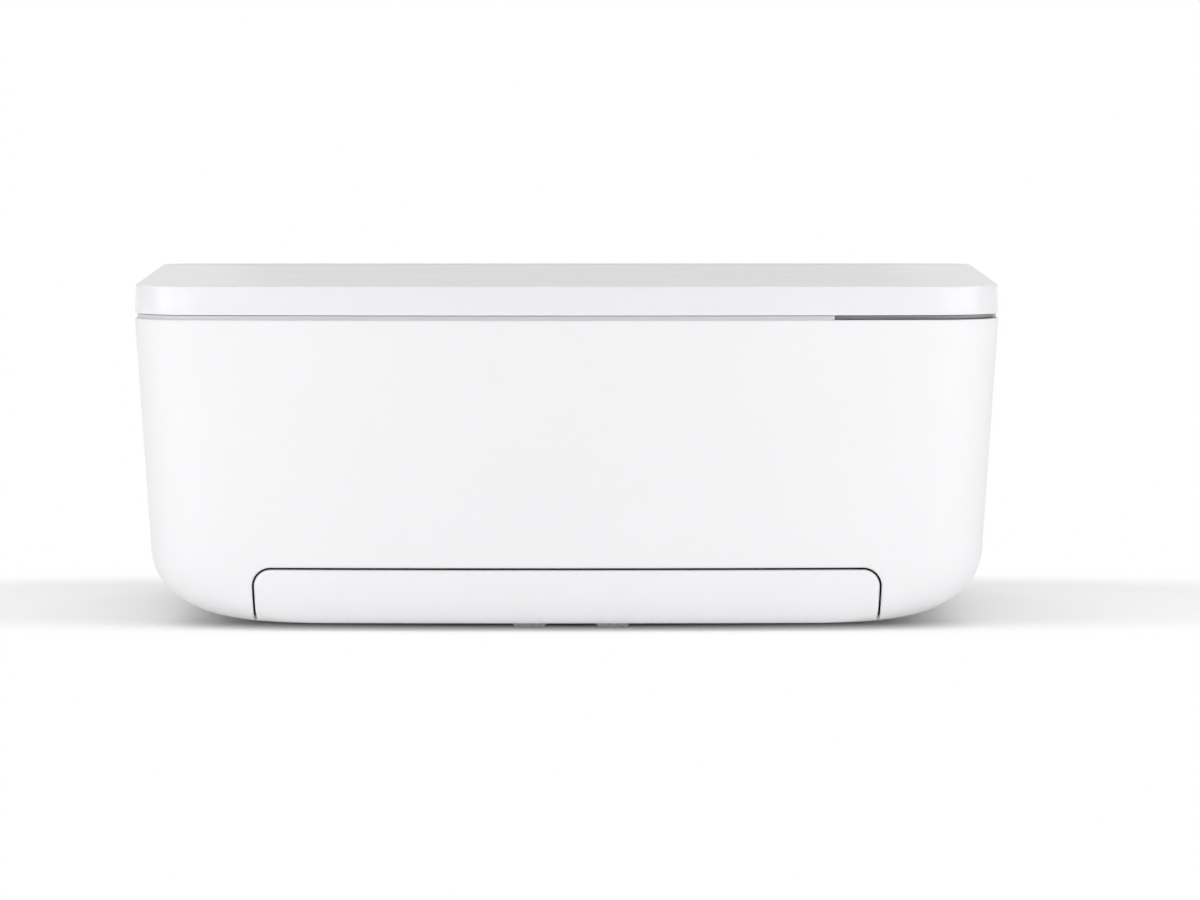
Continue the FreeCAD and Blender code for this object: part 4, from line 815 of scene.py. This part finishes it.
def makePad():
    # foam pad under the lid: crowned face, soft edge, sides drawn in a little between the corners
    look = padLook
    edge, crown, columns, rows = look["edge"], look["crown"], look["columns"], look["rows"]
    low, high = nodeBox("lid_pad")
    middle = [(low[i] + high[i]) / 2 for i in range(3)]
    half = [(high[i] - low[i]) / 2 for i in range(2)]

    def spot(u, v, inset, z):
        drawX = look["pull"] * (1 - v * v)
        drawY = look["pull"] * (1 - u * u)
        return middle[0] + u * (half[0] - inset - drawX), middle[1] + v * (half[1] - inset - drawY), z

    rim = [(2 * share - 1, -1) for share in shares(columns, 0)[:-1]]
    rim += [(1, 2 * share - 1) for share in shares(rows, 0)[:-1]]
    rim += [(-u, -v) for u, v in rim]
    rings = [[spot(u, v, 0.0, z) for u, v in rim] for z in (high[2], low[2] + edge)]
    for share in shares(look["sides"]):
        angle = quarter * share
        inset = edge * (1 - math.cos(angle))
        z = low[2] + crown + (edge - crown) * (1 - math.sin(angle))
        rings.append([spot(u, v, inset, z) for u, v in rim])
    for share in look["shares"]:
        z = low[2] + crown * max(0.0, (share - look["flat"]) / (1 - look["flat"])) ** 2
        rings.append([spot(u * share, v * share, edge, z) for u, v in rim])
    return newPiece("lidPad", loft(rings), "pad_white", look["smooth"])


show(makeFeet(), "base", "foot_rubber", "rubber_feet")
for node, name in (("power_button", "powerButton"), ("wireless_button", "wirelessButton")):
    show(makeButton(node, name), bodyOf[node], slotOf[node], node)
show(makeLenses(), "base", "lens_grey", "edge_light_lenses")
lidPad = makePad()
show(lidPad, "lid", "pad_white", "lid_pad")


# geometry nodes: one tree for each rule of repetition, grown once and kept as a plain mesh
class Growth(Finish):
    def __init__(self, name, inputs):
        super().__init__(name, bpy.data.node_groups.new(name, "GeometryNodeTree"))
        face = self.tree.interface
        inputs = {**inputs, "Shape": "Object", "Finish": "Material"}
        self.labels = {
            label: face.new_socket(label, in_out="INPUT", socket_type="NodeSocket" + kind).identifier
            for label, kind in inputs.items()}
        face.new_socket("Geometry", in_out="OUTPUT", socket_type="NodeSocketGeometry")
        outputs = self.tree.nodes.new("NodeGroupInput").outputs
        self.given = {label: Wire(self, outputs[label]) for label in inputs}

    def copies(self, points, sockets=None):
        shape = self.node("GeometryNodeObjectInfo", {}, {
            "Object": self.given["Shape"], "As Instance": True}, "Geometry")
        return self.node("GeometryNodeInstanceOnPoints", {}, {
            "Points": points, "Instance": shape, **(sockets or {})})

    def facing(self, vector, pivot="AUTO"):
        return self.node("FunctionNodeAlignRotationToVector", {"axis": "Z", "pivot_axis": pivot}, {
            "Vector": vector})

    def finished(self, instances):
        whole = self.node("GeometryNodeRealizeInstances", {}, {"Geometry": instances})
        painted = self.node("GeometryNodeSetMaterial", {}, {
            "Geometry": whole, "Material": self.given["Finish"]})
        self.node("NodeGroupOutput", {}, {"Geometry": painted})
        return self

    def grow(self, shape, finish, values, points=None):
        stamp = bpy.data.objects.new("stamp", shape)
        carrier = bpy.data.objects.new("carrier", points or bpy.data.meshes.new("carrier"))
        step = carrier.modifiers.new("grow", "NODES")
        step.node_group = self.tree
        for label, value in {**values, "Shape": stamp, "Finish": finishes[finish]}.items():
            step[self.labels[label]] = value
        return evaluated(carrier, stamp)


def rowGrowth():
    # copies in a straight row
    tree = Growth("row", {"Count": "Int", "Start": "Vector", "Step": "Vector"})
    line = tree.node("GeometryNodeMeshLine", {}, {
        "Count": tree.given["Count"], "Start Location": tree.given["Start"], "Offset": tree.given["Step"]})
    return tree.finished(tree.copies(line))


def ringGrowth():
    # copies round an axis along x, each standing outwards
    tree = Growth("ring", {"Count": "Int", "Radius": "Float", "Center": "Vector"})
    flat = tree.node("GeometryNodeMeshCircle", {}, {
        "Vertices": tree.given["Count"], "Radius": tree.given["Radius"]})
    stood = tree.node("GeometryNodeTransform", {}, {"Geometry": flat, "Rotation": (0, quarter, 0)})
    outward = tree.facing(tree.node("GeometryNodeInputPosition"), "X")
    ring = tree.copies(stood, {"Rotation": outward})
    return tree.finished(tree.node("GeometryNodeTransform", {}, {
        "Geometry": ring, "Translation": tree.given["Center"]}))


def studGrowth():
    # copies on chosen points, each along the point's own direction and turned by chance
    tree = Growth("stud", {"Geometry": "Geometry", "Seed": "Int"})
    aim = tree.node("GeometryNodeInputNamedAttribute", {"data_type": "FLOAT_VECTOR"}, {"Name": "aim"})
    turn = tree.node("FunctionNodeRandomValue", {"data_type": "FLOAT"}, {
        2: 0.0, 3: 2 * math.pi, "Seed": tree.given["Seed"]}, 1)
    twist = tree.node("ShaderNodeCombineXYZ", {}, {"Z": turn})
    stance = tree.node("FunctionNodeRotateRotation", {"rotation_space": "LOCAL"}, {
        "Rotation": tree.facing(aim), "Rotate By": twist})
    return tree.finished(tree.copies(tree.given["Geometry"], {"Rotation": stance}))


def boardGrowth():
    # blocks of chance size on some places of an upright grid
    tree = Growth("board", {"Seed": "Int", "Size": "Vector", "Places": "Vector", "Center": "Vector",
                            "Share": "Float", "Smallest": "Vector", "Largest": "Vector"})
    sizeX, sizeY = tree.wires("ShaderNodeSeparateXYZ", "XY", {0: tree.given["Size"]})
    placesX, placesY = tree.wires("ShaderNodeSeparateXYZ", "XY", {0: tree.given["Places"]})
    grid = tree.node("GeometryNodeMeshGrid", {}, {
        "Size X": sizeX, "Size Y": sizeY, "Vertices X": placesX, "Vertices Y": placesY})
    upright = tree.node("GeometryNodeTransform", {}, {
        "Geometry": grid, "Rotation": (quarter, 0, 0), "Translation": tree.given["Center"]})
    chosen = tree.node("FunctionNodeRandomValue", {"data_type": "BOOLEAN"}, {
        "Probability": tree.given["Share"], "Seed": tree.given["Seed"]}, 3)
    bulk = tree.node("FunctionNodeRandomValue", {"data_type": "FLOAT_VECTOR"}, {
        0: tree.given["Smallest"], 1: tree.given["Largest"], "Seed": tree.given["Seed"] + 1})
    return tree.finished(tree.copies(upright, {"Selection": chosen, "Scale": bulk}))


growths = {"row": rowGrowth(), "ring": ringGrowth(), "stud": studGrowth(), "board": boardGrowth()}


# low ribs with sloped sides and ends, standing on their middle
ribLook = {"sink": 0.2, "shoulder": 0.6, "shoulderShare": 0.92, "topShare": 0.6}


def ribStamp(length, width, height, along=(1, 0, 0), up=(0, 0, 1)):
    look = ribLook
    along, up = Vector(along), Vector(up)
    across = up.cross(along)
    rings = []
    for rise, share in ((height, look["topShare"]), (look["shoulder"] * height, look["shoulderShare"]),
                        (-look["sink"], 1.0)):
        reach, half = length / 2 - width / 2 * (1 - share), width / 2 * share
        rings.append([tuple(along * a * reach + across * b * half + up * rise)
                      for a, b in ((-1, -1), (1, -1), (1, 1), (-1, 1))])
    return loft(rings)


# each row stands on the top of a node, or on the side that is named, from a start in that face
rowDetails = [
    {"name": "deckRibs", "on": "output_deck", "rib": (190, 2.6, 0.9, (0, 1, 0)), "count": 9,
     "start": (-120, -58), "step": (30, 0, 0)},
    {"name": "doorGrip", "on": "rear_door", "side": (0, 1, 0), "rib": (44, 1.2, 0.7, (1, 0, 0)), "count": 5,
     "start": (0, 90), "step": (0, 0, 2.4)},
    {"name": "supplyRibs", "on": "power_supply", "rib": (40, 2.0, 0.8, (0, 1, 0)), "count": 8,
     "start": (-169, 139), "step": (6, 0, 0)},
    {"name": "blackLatchGrip", "on": "black_latch", "rib": (20, 1.0, 0.5, (1, 0, 0)), "count": 4,
     "start": (160.5, 25.5), "step": (0, 2.2, 0)},
    {"name": "colorLatchGrip", "on": "color_latch", "rib": (20, 1.0, 0.5, (1, 0, 0)), "count": 4,
     "start": (121.5, 25.5), "step": (0, 2.2, 0)},
    {"name": "scanLenses", "on": "scan_bar", "slot": "lens_grey", "rib": (5, 1.5, 0.35, (1, 0, 0)),
     "count": 104, "start": (-141, -113), "step": (0, 2.1, 0)},
    {"name": "scanLight", "on": "scan_bar", "slot": "gear_white", "rib": (10.2, 3.2, 0.35, (0, 1, 0)),
     "count": 20, "start": (-149, -108), "step": (0, 10.8, 0)},
]


def makeRow(look):
    node, side = look["on"], look.get("side", (0, 0, 1))
    slot = look.get("slot", slotOf[node])
    face = nodeBox(node)[1]
    first, second = look["start"]
    start = (first, second, face[2]) if side[2] else (first, face[1], second)
    mesh = growths["row"].grow(ribStamp(*look["rib"], side), slot, {
        "Count": look["count"], "Start": start, "Step": look["step"]})
    show(grownPiece(look["name"], mesh), bodyOf[node], slot)


for look in rowDetails:
    makeRow(look)

# rubber sleeves of the feed roller, ridges of the pick roller
feedLook = {"center": (78.0, 38.0), "radius": 8.1, "width": 14.0, "edge": 0.3, "sink": 0.12, "steps": 24,
            "first": -150.0, "step": 30.0, "count": 11}
pickLook = {"center": (0, 110.221, 20.8), "radius": 8.95, "length": 28.0, "ridge": (0.7, 0.3), "count": 30}


def makeSleeves():
    look = feedLook
    radius, half = look["radius"], look["width"] / 2
    worn, flat = radius - look["sink"], half - look["edge"]
    profile = [(worn, -half), (radius, -flat), (radius, flat), (worn, half)]
    band = turned(profile, (0, 0, 0), (1, 0, 0), look["steps"])
    mesh = growths["row"].grow(band, "roller_rubber", {
        "Count": look["count"], "Start": (look["first"], *look["center"]), "Step": (look["step"], 0, 0)})
    show(grownPiece("feedSleeves", mesh), "feed_roller_set", "roller_rubber")


def makeRidges():
    look = pickLook
    mesh = growths["ring"].grow(ribStamp(look["length"], *look["ridge"]), "roller_rubber", {
        "Count": look["count"], "Radius": look["radius"], "Center": look["center"]})
    show(grownPiece("pickRidges", mesh), "pick_roller_body", "roller_rubber")


makeSleeves()
makeRidges()

# screws: places by piece, dropped on its surface along a direction; profile in shares of radius and height
screwLook = {"radius": 2.9, "height": 1.3, "sink": 0.3, "footShare": 0.94, "steps": 16, "slot": 0.5,
             "reach": 0.55, "recess": 0.35, "over": 1.0, "profile": ((1.0, 0.15), (0.9, 0.7), (0.62, 1.0)),
             "seed": 7}
screwPlaces = [
    ("casingShell", "base", (0, 0, -1), [(-100, -95), (100, -95), (-100, 108), (100, 108), (0, 20)]),
    ("casingShell", "base", (0, 1, 0), [(-182, 118), (182, 118), (-182, 54), (182, 54)]),
    ("softInnerDeck", "base", (0, 0, 1), [(-168, -20), (168, -20), (-168, -120), (168, -120)]),
    ("base_chassis", "base", (0, 0, 1), [(-70, 150), (60, 150)]),
    ("softScannerTub", "scanner_deck", (0, 0, -1),
     [(-150, -140), (150, -140), (-150, 140), (150, 140), (0, -140), (0, 140)]),
    ("softLidLiner", "lid", (0, 0, -1), [(-190, -150), (190, -150), (-190, 150), (190, 150)]),
]


def screwStamp():
    # pan head with a cross recess
    look = screwLook
    radius, height, half = look["radius"], look["height"], look["slot"] / 2
    profile = [(radius * look["footShare"], -look["sink"])]
    profile += [(radius * wide, height * tall) for wide, tall in look["profile"]]
    reach, low, high = radius * look["reach"], height * look["recess"], height + look["over"]
    cross = carved(boxMesh((-reach, -half, low), (reach, half, high)),
                   boxMesh((-half, -reach, low), (half, reach, high)), "UNION")
    return carved(turned(profile, (0, 0, 0), (0, 0, 1), look["steps"]), cross)


def dropped(piece, aim, first, second):
    # where a ray from outside meets a piece
    aim = Vector(aim)
    start = Vector((first, second, 0)) if aim.z else Vector((first, 0, second))
    hit, place, _, _ = piece.ray_cast(start / perMetre + aim, -aim)
    return place * perMetre if hit else None


def makeScrews():
    byBody = {}
    for name, body, aim, places in screwPlaces:
        for first, second in places:
            place = dropped(bpy.data.objects[name], aim, first, second)
            if place:
                byBody.setdefault(body, []).append((place, aim))
    for body, spots in byBody.items():
        points = bpy.data.meshes.new("spots")
        points.from_pydata([tuple(place) for place, _ in spots], [], [])
        aims = points.attributes.new("aim", "FLOAT_VECTOR", "POINT")
        for entry, (_, aim) in zip(aims.data, spots):
            entry.vector = aim
        mesh = growths["stud"].grow(screwStamp(), "screw_zinc", {"Seed": screwLook["seed"]}, points)
        show(grownPiece("screws" + capital(body), mesh), body, "steel")


makeScrews()

# parts on the face of the logic board that is seen from the inside
boardLook = {
    "blocks": {"Seed": 11, "Size": (58, 64, 0), "Places": (9, 10, 0), "Share": 0.34,
               "Smallest": (2.2, 1.4, 1.6), "Largest": (6.0, 3.2, 5.5)},
    "pins": {"Seed": 4, "Size": (60, 66, 0), "Places": (26, 28, 0), "Share": 0.2,
             "Smallest": (0.7, 0.5, 0.5), "Largest": (1.5, 0.9, 0.9)},
}
blockLook = {"half": 0.5, "cap": 0.44, "depth": 1.0, "capDepth": 1.06}


def makeBoardParts():
    low, high = nodeBox("logic_board")
    center = ((low[0] + high[0]) / 2, low[1], (low[2] + high[2]) / 2)
    half, cap, depth, capDepth = [blockLook[key] for key in ("half", "cap", "depth", "capDepth")]
    uses = (("blocks", "inner_black", "inner_black"), ("pins", "screw_zinc", "steel"))
    for label, finish, slot in uses:
        stamp = gathered([boxMesh((-half, -depth, -half), (half, 0, half)),
                          boxMesh((-cap, -capDepth, -cap), (cap, -depth, cap))])
        mesh = growths["board"].grow(stamp, finish, {"Center": center, **boardLook[label]})
        show(grownPiece("board" + label.title(), mesh), "base", slot)


makeBoardParts()


# stage: floor that is white to the camera beyond the soft shadow round the object
floorLook = {"half": 40.0, "paper": 0.98, "shadowReach": (0.62, 0.25), "shadowY": 0.05,
             "fadeSpan": (0.625, 1.0)}
# spans are parts of a direction's length: sideways, to the rear or upwards
worldLook = {
    "light": 0.955, "sideSpan": (0.3, 0.95), "sideDim": 0.15, "horizonGrey": 0.68, "horizonEnds": 0.1,
    "endsSpan": (0.0362, 0.0432), "horizonSpan": (0.1, 0.35), "windowSpan": (0.12, 0.42), "windowLight": 1.8,
    "windowFront": (-0.3, 0.1), "windowRise": (0.05, 0.14),
}
rayNames = ("Is Camera Ray", "Is Glossy Ray", "Is Transmission Ray")


def makeFloor():
    look = floorLook
    finish = Finish("floor_white")
    half = look["half"]
    mesh = bpy.data.meshes.new("floor")
    corners = [(-half, -half, 0), (half, -half, 0), (half, half, 0), (-half, half, 0)]
    mesh.from_pydata(corners, [], [(0, 1, 2, 3)])
    reachX, reachY = look["shadowReach"]
    shift = (0, -look["shadowY"] / reachY, 0)
    spot = finish.place({"Scale": (1 / reachX, 1 / reachY, 1), "Location": shift})
    away = finish.node("ShaderNodeVectorMath", {"operation": "LENGTH"}, {0: spot}, output="Value")
    camera, glossy, through = finish.wires("ShaderNodeLightPath", rayNames)
    paper = finish.node("ShaderNodeBsdfDiffuse", {}, {"Color": rgb([look["paper"]] * 3)})
    white = finish.node("ShaderNodeEmission", {}, {"Color": rgb((1, 1, 1)), "Strength": 1.0})
    share = finish.ramp(away, look["fadeSpan"]) * (camera | glossy | through)
    shown = finish.node("ShaderNodeMixShader", {}, {0: share, 1: paper, 2: white})
    mesh.materials.append(finish.close(shown))
    placed("floor", mesh)


def makeWorld():
    # ambient light, dimmer from the sides
    # mirrors see a grey horizon and a soft window on either side of the front
    look = worldLook
    world = bpy.data.worlds.new("studio")
    world.use_nodes = True
    sky = Finish("studio", world.node_tree)
    camera, glossy, through = sky.wires("ShaderNodeLightPath", rayNames)
    x, y, z = sky.wires("ShaderNodeSeparateXYZ", "XYZ", {0: sky.node("ShaderNodeTexCoord")})
    aside = x.maths("ABSOLUTE", x)
    ambient = sky.ramp(aside, look["sideSpan"], 1.0, look["sideDim"]) * look["light"]
    grey = sky.ramp(aside, look["endsSpan"], 0.0, look["horizonEnds"]) + look["horizonGrey"]
    horizon = sky.ramp(z, look["horizonSpan"], grey, 1.0)
    window = sky.ramp(aside, look["windowSpan"], 0.0, look["windowLight"])
    window = window * sky.ramp(y, look["windowFront"], 1.0, 0.0)
    mirrored = horizon + window * sky.ramp(z, look["windowRise"], 1.0, 0.0)
    strength = ambient + glossy * (mirrored - ambient)
    strength = strength + (camera | through) * (1 - strength)
    light = sky.node("ShaderNodeBackground", {}, {"Color": rgb((1, 1, 1)), "Strength": strength})
    sky.node("ShaderNodeOutputWorld", {}, {"Surface": light})
    scene.world = world


# lamps: soft box above the camera, one behind, a low box and a low strip on each side
lamps = [
    {"name": "key", "at": (0.0, -1.7, 2.5), "to": (0, 0, 0.08), "size": (3.0, 1.6), "watts": 9.3},
    {"name": "back", "at": (0.0, 2.2, 0.9), "to": (0, 0.1, 0.08), "size": (1.8, 0.8), "watts": 6.0},
    {"name": "box", "at": (1.88, -0.78, 0.24), "to": (0, -0.1, 0.06), "size": (0.7, 0.46), "watts": 5.5,
     "paired": True},
    {"name": "strip", "at": (0.5, -0.55, 0.03), "to": (0.15, -0.1, 0.03), "size": (0.4, 0.05), "watts": 0.57,
     "paired": True},
]


def makeLamps():
    for look in lamps:
        for side in (1, -1) if look.get("paired") else (1,):
            data = bpy.data.lights.new(look["name"], "AREA")
            data.shape, data.size, data.size_y, data.energy = "RECTANGLE", *look["size"], look["watts"]
            lamp = placed(look["name"], data)
            at, to = [Vector((side * x, y, z)) for x, y, z in (look["at"], look["to"])]
            lamp.matrix_world = Matrix.Translation(at) @ aimed(to - at, "-Z")
            lamp.visible_camera = lamp.visible_glossy = False


# place in metres, lens and sensor in millimetres, angles in degrees
cameraLook = {"at": (0.0, -4.652, 0.327), "pitch": 3.011, "pan": 0.2108, "lens": 270.8, "sensor": 36.0,
              "far": 200.0}


def makeCamera():
    look = cameraLook
    data = bpy.data.cameras.new("camera")
    data.lens, data.sensor_width, data.clip_end = look["lens"], look["sensor"], look["far"]
    camera = placed("camera", data)
    camera.location = look["at"]
    camera.rotation_euler = (math.radians(90 - look["pitch"]), 0, -math.radians(look["pan"]))
    scene.camera = camera


makeFloor()
makeWorld()
makeLamps()
makeCamera()
print("stage set")
